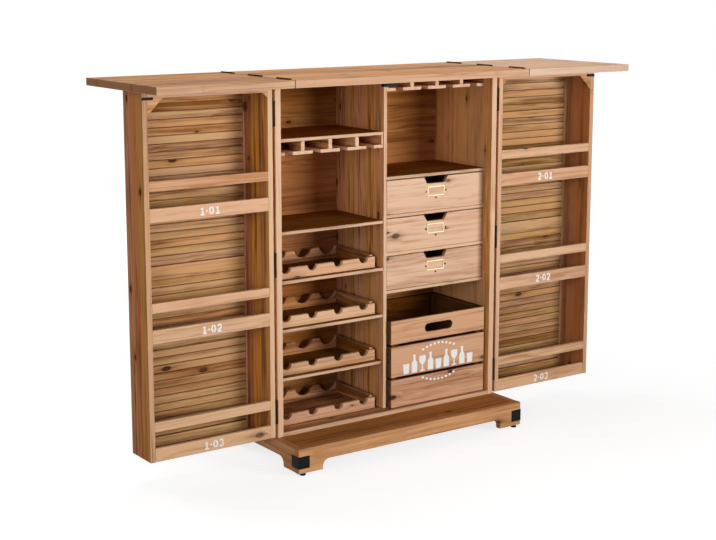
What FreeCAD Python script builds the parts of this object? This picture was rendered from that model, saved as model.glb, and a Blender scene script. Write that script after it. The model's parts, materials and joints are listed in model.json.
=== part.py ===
import FreeCAD, Part
import os
import re
import Sketcher

# A fold-out bar cabinet of solid softwood, shown open.
# A carcass on a bracket-footed plinth holds bottle racks, glass rails, drawers and a crate.
# Two shelved, louvred doors swing 180 degrees, and two top leaves fold up and over the centre top.
# Millimetres, +Z up, front towards -Y. Origin on the floor, at the middle of the top's outline.

# Driving dimensions
SIZES = {
    # Plinth, feet and corner guards
    "glide_height": 8,
    "glide_radius": 9,
    "glide_inset": 19,
    "plinth_height": 72,
    "plinth_side_overhang": 10,
    "plinth_front_overhang": 125,
    "apron_board": 20,
    "deck_board": 18,
    "foot_length": 82,
    "arch_height": 29,
    "arch_radius": 22,
    "guard_leg": 36,
    "guard_height": 36,
    "guard_rise": 14,
    "guard_sheet": 1.2,
    # Carcass
    "carcass_width": 800,
    "carcass_depth": 290,
    "carcass_height": 1012,
    "side_board": 19,
    "bottom_board": 13,
    "back_board": 8,
    "back_plank_height": 112,
    "divider_board": 12,
    "divider_setback": 31,
    "shelf_board": 10,
    "shelf_setback": 33,
    # Bottle racks and glass rails
    "lowest_wine_bay": 140,
    "wine_bay": 133,
    "glass_cubby_part": 51,
    "upper_cubby_part": 31,
    "rack_setback": 53,
    "rack_back_gap": 24,
    "rack_wall_gap": 4,
    "rack_divider_gap": 15,
    "rack_board": 12,
    "rack_front_height": 32,
    "rack_rear_height": 37,
    "bottle_pitch": 91,
    "neck_radius": 16,
    "bottle_radius": 32,
    "bottle_seat": 13,
    "rail_stem_board": 13,
    "rail_stem_height": 28,
    "rail_flange_board": 10,
    "glass_slot": 26,
    "glass_rail_setback": 34,
    "glass_rail_back_gap": 12,
    # Drawers
    "crate_bay": 353,
    "drawer_bay": 105,
    "slide_clearance": 0.3,
    "drawer_top_gap": 3,
    "drawer_side_gap": 3,
    "drawer_setback": 2,
    "drawer_back_gap": 9,
    "drawer_front_board": 12,
    "drawer_side_board": 9,
    "drawer_side_height": 76,
    "drawer_floor_board": 5,
    "drawer_floor_rise": 6,
    "pull_width": 91,
    "pull_floor_width": 70,
    "pull_depth": 20,
    "label_width": 66,
    "label_height": 32,
    "label_rim": 4,
    "label_sheet": 1.5,
    "label_drop": 8,
    "label_ear": 8,
    "label_pin_radius": 2,
    "label_pin_head": 1,
    # Crate
    "crate_side_gap": 5.5,
    "crate_setback": 15,
    "crate_back_gap": 5,
    "crate_board": 10,
    "crate_floor_board": 8,
    "crate_post": 18,
    "crate_low_slat": 86,
    "crate_mid_slat": 95,
    "crate_top_slat": 73,
    "crate_slat_gap": 8,
    "handle_length": 106,
    "handle_height": 26,
    "handle_drop": 37,
    # Top and its leaves
    "top_board": 21,
    "top_front_overhang": 130,
    "top_back_overhang": 0,
    "top_side_overhang": 15,
    "seam_gap": 2,
    "fold_gap": 1,
    "leaf_meeting_gap": 2,
    # Doors
    "door_gap": 8,
    "door_meeting_gap": 2,
    "door_face_gap": 1.5,
    "door_depth": 110,
    "door_floor_gap": 3,
    "door_head_gap": 3,
    "door_board": 16,
    "door_shelf_board": 12,
    "door_rail_board": 12,
    "low_rail": 38,
    "rail_opening": 46.5,
    "high_rail": 27,
    "gusset_leg": 46,
    "hinge_gusset_leg": 16,
    "gusset_board": 12,
    "stile_width": 22,
    "louvre_rail": 38,
    "louvre_depth": 18,
    "louvre_pitch": 22,
    "louvre_slat_width": 26,
    "louvre_slat_board": 5,
    "louvre_tilt": 72,
    "louvre_end_gap": 0.3,
    # Hinges and catch
    "hinge_length": 70,
    "door_hinge_inset": 75,
    "leaf_hinge_inset": 58,
    "barrel_clearance": 0.5,
    "hinge_pin_radius": 1.5,
    "pin_clearance": 0.05,
    "knuckle_gap": 0.3,
    "door_plate_sheet": 1.4,
    "door_plate_width": 20,
    "leaf_plate_sheet": 0.8,
    "leaf_plate_width": 14,
    "catch_width": 48,
    "catch_height": 22,
    "catch_depth": 20,
    "strike_width": 33,
    "strike_height": 8,
    "strike_drop": 12,
    "strike_sheet": 1.2,
}

# Counts
WINE_SHELVES = 3
BOTTLES = 4
GLASS_SLOTS = 4
DRAWERS = 3
DOOR_BAYS = 3

# Planes and widths that several pieces share
TOP_DEPTH = "(top_front_overhang + carcass_depth + top_back_overhang)"
FRONT = f"(top_front_overhang - {TOP_DEPTH}/2)"
BACK = f"({FRONT} + carcass_depth)"
INNER_BACK = f"({BACK} - back_board)"
BASE = "(glide_height + plinth_height)"
FLOOR = f"({BASE} + bottom_board)"
HEAD = f"({BASE} + carcass_height)"
COUNTER = f"({HEAD} + top_board)"
HALF = "(carcass_width/2)"
WALL = f"({HALF} - side_board)"
MIDDLE = "(divider_board/2)"
BAY_WIDTH = f"({WALL} - {MIDDLE})"
SHELF_FRONT = f"({FRONT} + shelf_setback)"

doc = FreeCAD.newDocument("bar_cabinet")
sheet = doc.addObject("Spreadsheet::Sheet", "Sizes")
for row, (alias, size) in enumerate(SIZES.items(), start=1):
    sheet.set(f"A{row}", alias)
    sheet.set(f"B{row}", str(size))
    sheet.setAlias(f"B{row}", alias)
doc.recompute()

nodes = []


def bound(text):
    """An expression in which every size is read from the sheet."""
    return re.sub(r"[a-z_]+", lambda word: f"Sizes.{word[0]}" if word[0] in SIZES else word[0], text)


def value(text):
    """What an expression comes to with the sheet as it is."""
    return float(sheet.evalExpression(bound(text)))


def node(label, pieces):
    """One named sub-part: a single piece, or a group of separate pieces."""
    part = pieces[0]
    if len(pieces) > 1:
        part = doc.addObject("Part::Compound", f"{label}_group")
        part.Links = pieces
    part.Label = label
    nodes.append(part)


def mirrored(side, span):
    """A span along X on the right (side 1), or its mirror image on the left (side -1)."""
    low, high = span
    return span if side > 0 else (f"-({high})", f"-({low})")


def board(name, x, y, z):
    """A board between two planes along each axis."""
    box = doc.addObject("Part::Box", name)
    for size, axis, (low, high) in zip(("Length", "Width", "Height"), "xyz", (x, y, z)):
        box.setExpression(size, bound(f"({high}) - ({low})"))
        box.setExpression(f"Placement.Base.{axis}", bound(low))
    return box


def rod(name, along, centre, span, radius):
    """A round rod along one axis: its centre on the other two axes, its span on its own."""
    turns = {
        "x": FreeCAD.Rotation(FreeCAD.Vector(0, 1, 0), 90),
        "y": FreeCAD.Rotation(FreeCAD.Vector(1, 0, 0), -90),
        "z": FreeCAD.Rotation(),
    }
    cylinder = doc.addObject("Part::Cylinder", name)
    cylinder.Placement = FreeCAD.Placement(FreeCAD.Vector(), turns[along])
    low, high = span
    cylinder.setExpression("Radius", bound(radius))
    cylinder.setExpression("Height", bound(f"({high}) - ({low})"))
    cylinder.setExpression(f"Placement.Base.{along}", bound(low))
    for axis, place in zip("xyz".replace(along, ""), centre):
        cylinder.setExpression(f"Placement.Base.{axis}", bound(place))
    return cylinder


def cut(name, base, tools):
    """A piece with other shapes taken out of it."""
    tool = tools[0]
    if len(tools) > 1:
        tool = doc.addObject("Part::Compound", f"{name}_tools")
        tool.Links = tools
    result = doc.addObject("Part::Cut", name)
    result.Base = base
    result.Tool = tool
    return result


def joined(name, shapes):
    """Several shapes made into one piece."""
    result = doc.addObject("Part::MultiFuse", name)
    result.Shapes = shapes
    result.Refine = True
    return result


def plate(name, plane, points, low, thickness):
    """A flat piece with a straight-sided outline, padded from its low face along the third axis."""
    body = doc.addObject("PartDesign::Body", name)
    sketch = body.newObject("Sketcher::SketchObject", f"{name}_outline")
    support = next(face for face in body.Origin.OriginFeatures if face.Role == f"{plane}_Plane")
    sketch.AttachmentSupport = [(support, "")]
    sketch.MapMode = "FlatFace"
    corners = [FreeCAD.Vector(value(across), value(up), 0) for across, up in points]
    for index, corner in enumerate(corners):
        sketch.addGeometry(Part.LineSegment(corner, corners[(index + 1) % len(corners)]))
    for index, corner in enumerate(corners):
        sketch.addConstraint(Sketcher.Constraint("Coincident", index, 2, (index + 1) % len(corners), 1))
        for kind, start, text in zip(("DistanceX", "DistanceY"), (corner.x, corner.y), points[index]):
            constraint = sketch.addConstraint(Sketcher.Constraint(kind, -1, 1, index, 1, start))
            sketch.renameConstraint(constraint, f"{kind}_{index}")
            sketch.setExpression(f"Constraints.{kind}_{index}", bound(text))
    pad = body.newObject("PartDesign::Pad", f"{name}_pad")
    pad.Profile = sketch
    pad.setExpression("Length", bound(thickness))
    axis = {"XY": "z", "XZ": "y", "YZ": "x"}[plane]
    pad.Reversed = plane == "XZ"
    body.setExpression(f"Placement.Base.{axis}", bound(low))
    return body


def rounded(body, plane, corners, radius):
    """Rounds the edges of a plate that run through its thickness at the given outline corners."""
    doc.recompute()
    across, up = plane.lower()
    spots = [(value(first), value(second)) for first, second in corners]

    def stands_at(edge, spot):
        ends = [(getattr(end.Point, across), getattr(end.Point, up)) for end in edge.Vertexes]
        return all(abs(end[0] - spot[0]) + abs(end[1] - spot[1]) < 1e-6 for end in ends)

    solid = body.Tip
    edges = enumerate(solid.Shape.Edges, start=1)
    chosen = [f"Edge{index}" for index, edge in edges if any(stands_at(edge, spot) for spot in spots)]
    fillet = body.newObject("PartDesign::Fillet", f"{body.Name}_rounding")
    fillet.Base = (solid, chosen)
    fillet.setExpression("Radius", bound(radius))
    body.Tip = fillet
    return body


# Plinth: aprons with bracket feet round a deck, steel guards on the front corners, glides below
PLINTH_HALF = f"({HALF} + plinth_side_overhang)"
PLINTH_FRONT = f"({FRONT} - plinth_front_overhang)"
APRON_FRONT = f"({PLINTH_FRONT} + apron_board)"
APRON_BACK = f"({BACK} - apron_board)"
ARCH_TOP = "(glide_height + arch_height)"


def apron(name, plane, span, arch, low):
    """A board on edge with an arch cut up between its feet, rounded at the arch's two corners."""
    crown = [(edge, ARCH_TOP) for edge in arch]
    points = [
        (span[0], "glide_height"),
        (arch[0], "glide_height"),
        *crown,
        (arch[1], "glide_height"),
        (span[1], "glide_height"),
        (span[1], BASE),
        (span[0], BASE),
    ]
    return rounded(plate(name, plane, points, low, "apron_board"), plane, crown, "arch_radius")


wide = (f"-{PLINTH_HALF}", PLINTH_HALF)
wide_arch = (f"foot_length - {PLINTH_HALF}", f"{PLINTH_HALF} - foot_length")
deep = (APRON_FRONT, APRON_BACK)
deep_arch = (f"{PLINTH_FRONT} + foot_length", f"{BACK} - foot_length")
inside_aprons = (f"apron_board - {PLINTH_HALF}", f"{PLINTH_HALF} - apron_board")
node("plinth_front_apron", [apron("front_apron", "XZ", wide, wide_arch, PLINTH_FRONT)])
node(
    "plinth_rear_aprons",
    [
        apron("left_apron", "YZ", deep, deep_arch, wide[0]),
        apron("right_apron", "YZ", deep, deep_arch, inside_aprons[1]),
        apron("back_apron", "XZ", wide, wide_arch, APRON_BACK),
    ],
)
node("plinth_deck", [board("deck", inside_aprons, deep, (f"{BASE} - deck_board", BASE))])

guards = []
for side, name in ((-1, "left_guard"), (1, "right_guard")):
    sign = "-" if side < 0 else ""
    corner = f"{sign}{PLINTH_HALF}"
    outer = f"{sign}({PLINTH_HALF} + guard_sheet)"
    end = f"{sign}({PLINTH_HALF} - guard_leg)"
    angle = [
        (end, f"{PLINTH_FRONT} - guard_sheet"),
        (outer, f"{PLINTH_FRONT} - guard_sheet"),
        (outer, f"{PLINTH_FRONT} + guard_leg"),
        (corner, f"{PLINTH_FRONT} + guard_leg"),
        (corner, PLINTH_FRONT),
        (end, PLINTH_FRONT),
    ]
    guards.append(plate(name, "XY", angle, "glide_height + guard_rise", "guard_height"))
node("plinth_corner_guards", guards)

glides = []
for side in (-1, 1):
    for row, depth in (("front", f"{PLINTH_FRONT} + apron_board/2"), ("back", f"{BACK} - apron_board/2")):
        across = f"{side}*({PLINTH_HALF} - glide_inset)"
        name = f"{row}_glide_{'left' if side < 0 else 'right'}"
        glides.append(rod(name, "z", (across, depth), ("0", "glide_height"), "glide_radius"))
node("foot_glides", glides)

# Carcass: two sides, bottom, planked back and a divider
carcass_span = (FRONT, BACK)
inner_depth = (FRONT, INNER_BACK)
for side, name in ((-1, "left"), (1, "right")):
    wall = board(f"{name}_side_board", mirrored(side, (WALL, HALF)), carcass_span, (BASE, HEAD))
    node(f"{name}_side_panel", [wall])
node("bottom_panel", [board("bottom_board", (f"-{WALL}", WALL), inner_depth, (BASE, FLOOR))])

planks = max(1, round(value("carcass_height") / value("back_plank_height")))
back = []
for index in range(planks):
    height = (f"{BASE} + carcass_height*{index}/{planks}", f"{BASE} + carcass_height*{index + 1}/{planks}")
    back.append(board(f"back_plank_{index + 1}", (f"-{WALL}", WALL), (INNER_BACK, BACK), height))
node("back_planks", back)
divider_depth = (f"{FRONT} + divider_setback", INNER_BACK)
node("centre_divider", [board("divider", (f"-{MIDDLE}", MIDDLE), divider_depth, (FLOOR, HEAD))])

# Left side: bottle racks on shelves, then a cubby, a glass rack and an upper cubby
left_bay = (f"-{WALL}", f"-{MIDDLE}")
right_bay = (MIDDLE, WALL)
shelf_depth = (SHELF_FRONT, INNER_BACK)


def shelf(name, bay, low):
    """A shelf board that fills one side of the carcass, given its underside."""
    return board(name, bay, shelf_depth, (low, f"{low} + shelf_board"))


RACK_LEFT = f"(rack_wall_gap - {WALL})"
RACK_RIGHT = f"(-{MIDDLE} - rack_divider_gap)"
RACK_FRONT = f"({FRONT} + rack_setback)"
RACK_BACK = f"({INNER_BACK} - rack_back_gap)"


def bottle_rack(number, seat):
    """A tray of four rails: necks lie in the front rail's notches, bottles in the rear rail's scallops."""
    name = f"rack_{number}"
    width = (RACK_LEFT, RACK_RIGHT)
    front_depth = (RACK_FRONT, f"{RACK_FRONT} + rack_board")
    rear_depth = (f"{RACK_BACK} - rack_board", RACK_BACK)
    necks = []
    bodies = []
    for index in range(BOTTLES):
        centre = f"({RACK_LEFT} + {RACK_RIGHT})/2 + bottle_pitch*{index - (BOTTLES - 1) / 2}"
        neck_at = (centre, f"{seat} + rack_front_height")
        body_at = (centre, f"{seat} + bottle_seat + bottle_radius")
        necks.append(rod(f"{name}_neck_{index}", "y", neck_at, front_depth, "neck_radius"))
        bodies.append(rod(f"{name}_body_{index}", "y", body_at, rear_depth, "bottle_radius"))
    front = board(f"{name}_front_blank", width, front_depth, (seat, f"{seat} + rack_front_height"))
    rear = board(f"{name}_rear_blank", width, rear_depth, (seat, f"{seat} + rack_rear_height"))
    between = (front_depth[1], rear_depth[0])
    tall = (seat, f"{seat} + rack_rear_height")
    left = board(f"{name}_left_rail", (RACK_LEFT, f"{RACK_LEFT} + rack_board"), between, tall)
    right = board(f"{name}_right_rail", (f"{RACK_RIGHT} - rack_board", RACK_RIGHT), between, tall)
    notched = cut(f"{name}_front_rail", front, necks)
    scalloped = cut(f"{name}_rear_rail", rear, bodies)
    node(f"bottle_rack_{number}", [notched, scalloped, left, right])


seat = FLOOR
rise = "lowest_wine_bay"
wine_shelves = []
for index in range(WINE_SHELVES + 1):
    bottle_rack(index + 1, seat)
    underside = f"({seat} + {rise})"
    if index < WINE_SHELVES:
        wine_shelves.append(shelf(f"wine_shelf_{index + 1}", left_bay, underside))
    seat = f"({underside} + shelf_board)"
    rise = "wine_bay"
node("wine_shelves", wine_shelves)
node("middle_left_shelf", [shelf("middle_shelf", left_bay, underside)])
CUBBY_SHARE = "glass_cubby_part/(glass_cubby_part + upper_cubby_part)"
GLASS_SHELF = f"({seat} + ({HEAD} - {seat} - shelf_board)*{CUBBY_SHARE})"
node("upper_left_shelf", [shelf("upper_shelf", left_bay, GLASS_SHELF)])


def glass_rack(name, bay, ceiling):
    """T-shaped rails under a board, half ones at the walls: a foot slides in over two flanges."""
    depth = (f"{FRONT} + glass_rail_setback", f"{INNER_BACK} - glass_rail_back_gap")
    stem = (f"{ceiling} - rail_stem_height", ceiling)
    flange = (f"{stem[0]} - rail_flange_board", stem[0])
    pitch = f"{BAY_WIDTH}/{GLASS_SLOTS}"
    pieces = []
    for index in range(GLASS_SLOTS + 1):
        centre = f"({bay[0]} + {pitch}*{index})"
        stem_low = bay[0] if index == 0 else f"{centre} - rail_stem_board/2"
        stem_high = bay[1] if index == GLASS_SLOTS else f"{centre} + rail_stem_board/2"
        flange_low = bay[0] if index == 0 else f"{centre} - ({pitch} - glass_slot)/2"
        flange_high = bay[1] if index == GLASS_SLOTS else f"{centre} + ({pitch} - glass_slot)/2"
        pieces.append(board(f"{name}_stem_{index}", (stem_low, stem_high), depth, stem))
        pieces.append(board(f"{name}_flange_{index}", (flange_low, flange_high), depth, flange))
    node(name, pieces)


glass_rack("left_glass_rails", left_bay, GLASS_SHELF)
glass_rack("right_glass_rails", right_bay, HEAD)

# Right side: crate bay, three drawers between shelves, and an open cubby
DRAWER_STEP = "(shelf_board + drawer_bay)"
BAY_FLOOR = f"({FLOOR} + crate_bay)"
node("drawer_bay_floor", [shelf("bay_floor", right_bay, BAY_FLOOR)])
dividers = []
for index in range(1, DRAWERS):
    dividers.append(shelf(f"drawer_divider_{index}", right_bay, f"({BAY_FLOOR} + {DRAWER_STEP}*{index})"))
node("drawer_dividers", dividers)
node("cubby_shelf", [shelf("cubby_board", right_bay, f"({BAY_FLOOR} + {DRAWER_STEP}*{DRAWERS})")])

BAY_CENTRE = f"(({MIDDLE} + {WALL})/2)"
DRAWER_FRONT = f"({SHELF_FRONT} + drawer_setback)"
DRAWER_INNER = f"({DRAWER_FRONT} + drawer_front_board)"
DRAWER_BACK = f"({INNER_BACK} - drawer_back_gap)"


def drawer(number):
    """A box behind a front with a finger pull cut into its top edge, and a framed label below the pull."""
    name = f"drawer_{number}"
    low = f"({BAY_FLOOR} + shelf_board + {DRAWER_STEP}*{DRAWERS - number} + slide_clearance)"
    high = f"({low} - slide_clearance + drawer_bay - drawer_top_gap)"
    left = f"({MIDDLE} + drawer_side_gap)"
    right = f"({WALL} - drawer_side_gap)"
    pull_floor = f"({high} - pull_depth)"
    outline = [
        (left, low),
        (right, low),
        (right, high),
        (f"{BAY_CENTRE} + pull_width/2", high),
        (f"{BAY_CENTRE} + pull_floor_width/2", pull_floor),
        (f"{BAY_CENTRE} - pull_floor_width/2", pull_floor),
        (f"{BAY_CENTRE} - pull_width/2", high),
        (left, high),
    ]
    node(f"{name}_front", [plate(f"{name}_face", "XZ", outline, DRAWER_FRONT, "drawer_front_board")])

    wall_height = (low, f"{low} + drawer_side_height")
    depth = (DRAWER_INNER, DRAWER_BACK)
    inside = (f"{left} + drawer_side_board", f"{right} - drawer_side_board")
    floor_depth = (DRAWER_INNER, f"{DRAWER_BACK} - drawer_side_board")
    floor_low = f"{low} + drawer_floor_rise"
    box = [
        board(f"{name}_left_wall", (left, inside[0]), depth, wall_height),
        board(f"{name}_right_wall", (inside[1], right), depth, wall_height),
        board(f"{name}_back_wall", inside, (floor_depth[1], DRAWER_BACK), wall_height),
        board(f"{name}_floor", inside, floor_depth, (floor_low, f"{floor_low} + drawer_floor_board")),
    ]
    node(f"{name}_box", box)
    node(f"{name}_label_holder", label_holder(name, f"({pull_floor} - label_drop)"))


def label_holder(name, top):
    """A brass frame with an ear at each side and below, each held by a pin."""
    face = f"({DRAWER_FRONT} - label_sheet)"
    depth = (face, DRAWER_FRONT)
    half = "(label_width/2)"
    bottom = f"({top} - label_height)"
    middle = f"({top} - label_height/2)"
    sides = (f"{BAY_CENTRE} - {half}", f"{BAY_CENTRE} + {half}")
    ear_height = (f"{middle} - label_ear/2", f"{middle} + label_ear/2")
    low_ear = (f"{BAY_CENTRE} - label_ear/2", f"{BAY_CENTRE} + label_ear/2")
    bars = [
        board(f"{name}_label_left", (sides[0], f"{sides[0]} + label_rim"), depth, (bottom, top)),
        board(f"{name}_label_right", (f"{sides[1]} - label_rim", sides[1]), depth, (bottom, top)),
        board(f"{name}_label_foot", sides, depth, (bottom, f"{bottom} + label_rim")),
        board(f"{name}_label_head", sides, depth, (f"{top} - label_rim", top)),
        board(f"{name}_ear_left", (f"{sides[0]} - label_ear", sides[0]), depth, ear_height),
        board(f"{name}_ear_right", (sides[1], f"{sides[1]} + label_ear"), depth, ear_height),
        board(f"{name}_ear_low", low_ear, depth, (f"{bottom} - label_ear", bottom)),
    ]
    pin_span = (f"{face} - label_pin_head", face)
    spots = [
        (f"{sides[0]} - label_ear/2", middle),
        (f"{sides[1]} + label_ear/2", middle),
        (BAY_CENTRE, f"{bottom} - label_ear/2"),
    ]
    pins = [rod(f"{name}_pin_{n}", "y", spot, pin_span, "label_pin_radius") for n, spot in enumerate(spots)]
    return [joined(f"{name}_label_frame", bars), *pins]


for number in range(1, DRAWERS + 1):
    drawer(number)

# Crate: slats on four corner posts round a floor, with a hand slot in the top front slat
CRATE_LEFT = f"({MIDDLE} + crate_side_gap)"
CRATE_RIGHT = f"({WALL} - crate_side_gap)"
CRATE_FRONT = f"({FRONT} + crate_setback)"
CRATE_BACK = f"({INNER_BACK} - crate_back_gap)"
CRATE_LOW = f"({FLOOR} + slide_clearance)"
CRATE_MID = f"({CRATE_LOW} + crate_low_slat + crate_slat_gap)"
CRATE_UPPER = f"({CRATE_MID} + crate_mid_slat + crate_slat_gap)"
CRATE_TOP = f"({CRATE_UPPER} + crate_top_slat)"
crate_width = (CRATE_LEFT, CRATE_RIGHT)
front_slat_depth = (CRATE_FRONT, f"{CRATE_FRONT} + crate_board")
back_slat_depth = (f"{CRATE_BACK} - crate_board", CRATE_BACK)
side_slat_depth = (front_slat_depth[1], back_slat_depth[0])
left_slat = (CRATE_LEFT, f"{CRATE_LEFT} + crate_board")
right_slat = (f"{CRATE_RIGHT} - crate_board", CRATE_RIGHT)
upper_row = (CRATE_UPPER, CRATE_TOP)
rows = {
    "low": (CRATE_LOW, f"{CRATE_LOW} + crate_low_slat"),
    "mid": (CRATE_MID, f"{CRATE_MID} + crate_mid_slat"),
    "top": upper_row,
}
slats = []
for row, height in rows.items():
    slats.append(board(f"crate_{row}_back_slat", crate_width, back_slat_depth, height))
    slats.append(board(f"crate_{row}_left_slat", left_slat, side_slat_depth, height))
    slats.append(board(f"crate_{row}_right_slat", right_slat, side_slat_depth, height))
    if row != "top":
        slats.append(board(f"crate_{row}_front_slat", crate_width, front_slat_depth, height))
node("crate_slats", slats)

handle_z = f"({CRATE_TOP} - handle_drop)"
slot_reach = "(handle_length/2 - handle_height/2)"
slot_ends = (f"{BAY_CENTRE} - {slot_reach}", f"{BAY_CENTRE} + {slot_reach}")
slot_height = (f"{handle_z} - handle_height/2", f"{handle_z} + handle_height/2")
hand_slot = joined(
    "crate_hand_slot",
    [
        board("slot_middle", slot_ends, front_slat_depth, slot_height),
        rod("slot_left_end", "y", (slot_ends[0], handle_z), front_slat_depth, "handle_height/2"),
        rod("slot_right_end", "y", (slot_ends[1], handle_z), front_slat_depth, "handle_height/2"),
    ],
)
handle_blank = board("crate_handle_blank", crate_width, front_slat_depth, upper_row)
node("crate_handle_slat", [cut("crate_handle", handle_blank, [hand_slot])])

crate_inside = (left_slat[1], right_slat[0])
crate_floor_top = f"({CRATE_LOW} + crate_floor_board)"
floor_piece = board("crate_base", crate_inside, side_slat_depth, (CRATE_LOW, crate_floor_top))
node("crate_floor", [floor_piece])
posts = []
for side, x in (("left", (crate_inside[0], f"{crate_inside[0]} + crate_post")),
                ("right", (f"{crate_inside[1]} - crate_post", crate_inside[1]))):
    for end, y in (("front", (side_slat_depth[0], f"{side_slat_depth[0]} + crate_post")),
                   ("back", (f"{side_slat_depth[1]} - crate_post", side_slat_depth[1]))):
        posts.append(board(f"crate_{end}_{side}_post", x, y, (crate_floor_top, CRATE_TOP)))
node("crate_posts", posts)

# Top: a centre board and two leaves, hinged at the seams
SEAM = f"({HALF} + top_side_overhang)"
SEAM_AXIS = f"({COUNTER} + fold_gap/2)"
TOP_EDGE = f"({SEAM} - seam_gap/2)"
LEAF_EDGE = f"({SEAM} + seam_gap/2)"
LEAF_END = f"({LEAF_EDGE} + {TOP_EDGE} - leaf_meeting_gap/2)"
top_span = (f"-{TOP_DEPTH}/2", f"{TOP_DEPTH}/2")
top_faces = (HEAD, COUNTER)
LEAF_HINGES = [f"({TOP_DEPTH}/2 - leaf_hinge_inset)*{step}" for step in (-1, 0, 1)]
BARREL = "(door_gap/2 - barrel_clearance)"
TAB = f"({BARREL} + barrel_clearance)"


def barrel_mortises(name, side):
    """Round-bottomed cuts that clear the hinge barrels along one seam."""
    reach = "(hinge_length/2 + barrel_clearance)"
    cuts = []
    for index, centre in enumerate(LEAF_HINGES):
        span = (f"{centre} - {reach}", f"{centre} + {reach}")
        axis = (f"{side}*{SEAM}", SEAM_AXIS)
        cuts.append(rod(f"{name}_{index}", "y", axis, span, TAB))
    return cuts


top_blank = board("centre_blank", (f"-{TOP_EDGE}", TOP_EDGE), top_span, top_faces)
top_cuts = barrel_mortises("top_mortise_left", -1) + barrel_mortises("top_mortise_right", 1)
node("centre_top", [cut("centre_board", top_blank, top_cuts)])
for side, name in ((-1, "left"), (1, "right")):
    blank = board(f"{name}_leaf_blank", mirrored(side, (LEAF_EDGE, LEAF_END)), top_span, top_faces)
    leaf = cut(f"{name}_leaf_board", blank, barrel_mortises(f"{name}_leaf_mortise", side))
    node(f"{name}_leaf", [leaf])

# Doors: a shallow box with shelves behind rails, a louvred face, gussets and a strike plate
DOOR_INNER = f"({HALF} + door_gap)"
DOOR_OUTER = f"({DOOR_INNER} + {HALF} - door_meeting_gap/2)"
DOOR_LOW = f"({BASE} + door_floor_gap)"
DOOR_HIGH = f"({HEAD} - door_head_gap)"
DOOR_BACK = f"({FRONT} + door_depth)"
LOUVRE_FRONT = f"({DOOR_BACK} - louvre_depth)"
RAIL_BACK = f"({FRONT} + door_rail_board)"
inside_door = (f"{DOOR_INNER} + door_board", f"{DOOR_OUTER} - door_board")
inside_stiles = (f"{inside_door[0]} + stile_width", f"{inside_door[1]} - stile_width")
DOOR_MIDDLE = f"(({DOOR_LOW} + {DOOR_HIGH})/2)"
CEILING = f"({DOOR_HIGH} - door_board)"
DOOR_BAY = f"(({CEILING} - {DOOR_LOW})/{DOOR_BAYS})"


def louvre_slats(name, side, field, number):
    """Slats that slope down towards the outer face, spread evenly between two rails."""
    rise = "(louvre_slat_width*sin(louvre_tilt) + louvre_slat_board*cos(louvre_tilt))"
    first = f"({field[0]} + {rise}/2 + louvre_end_gap)"
    last = f"({field[1]} - {rise}/2 - louvre_end_gap)"
    steps = max(1, round((value(last) - value(first)) / value("louvre_pitch")))
    centre_y = f"({LOUVRE_FRONT} + louvre_depth/2)"
    slope = FreeCAD.Rotation(FreeCAD.Vector(1, 0, 0), -1)
    low, high = mirrored(side, inside_stiles)
    pieces = []
    for index in range(steps + 1):
        centre_z = f"({first} + ({last} - {first})*{index}/{steps})"
        slat = doc.addObject("Part::Box", f"{name}_louvre_{number}_{index}")
        slat.Placement = FreeCAD.Placement(FreeCAD.Vector(), slope)
        slat.setExpression("Length", bound(f"({high}) - ({low})"))
        slat.setExpression("Width", bound("louvre_slat_width"))
        slat.setExpression("Height", bound("louvre_slat_board"))
        slat.setExpression("Placement.Rotation.Angle", bound("-louvre_tilt"))
        half_depth = "louvre_slat_width*cos(louvre_tilt)/2 + louvre_slat_board*sin(louvre_tilt)/2"
        half_drop = "louvre_slat_width*sin(louvre_tilt)/2 - louvre_slat_board*cos(louvre_tilt)/2"
        slat.setExpression("Placement.Base.x", bound(low))
        slat.setExpression("Placement.Base.y", bound(f"{centre_y} - ({half_depth})"))
        slat.setExpression("Placement.Base.z", bound(f"{centre_z} + {half_drop}"))
        pieces.append(slat)
    return pieces


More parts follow.
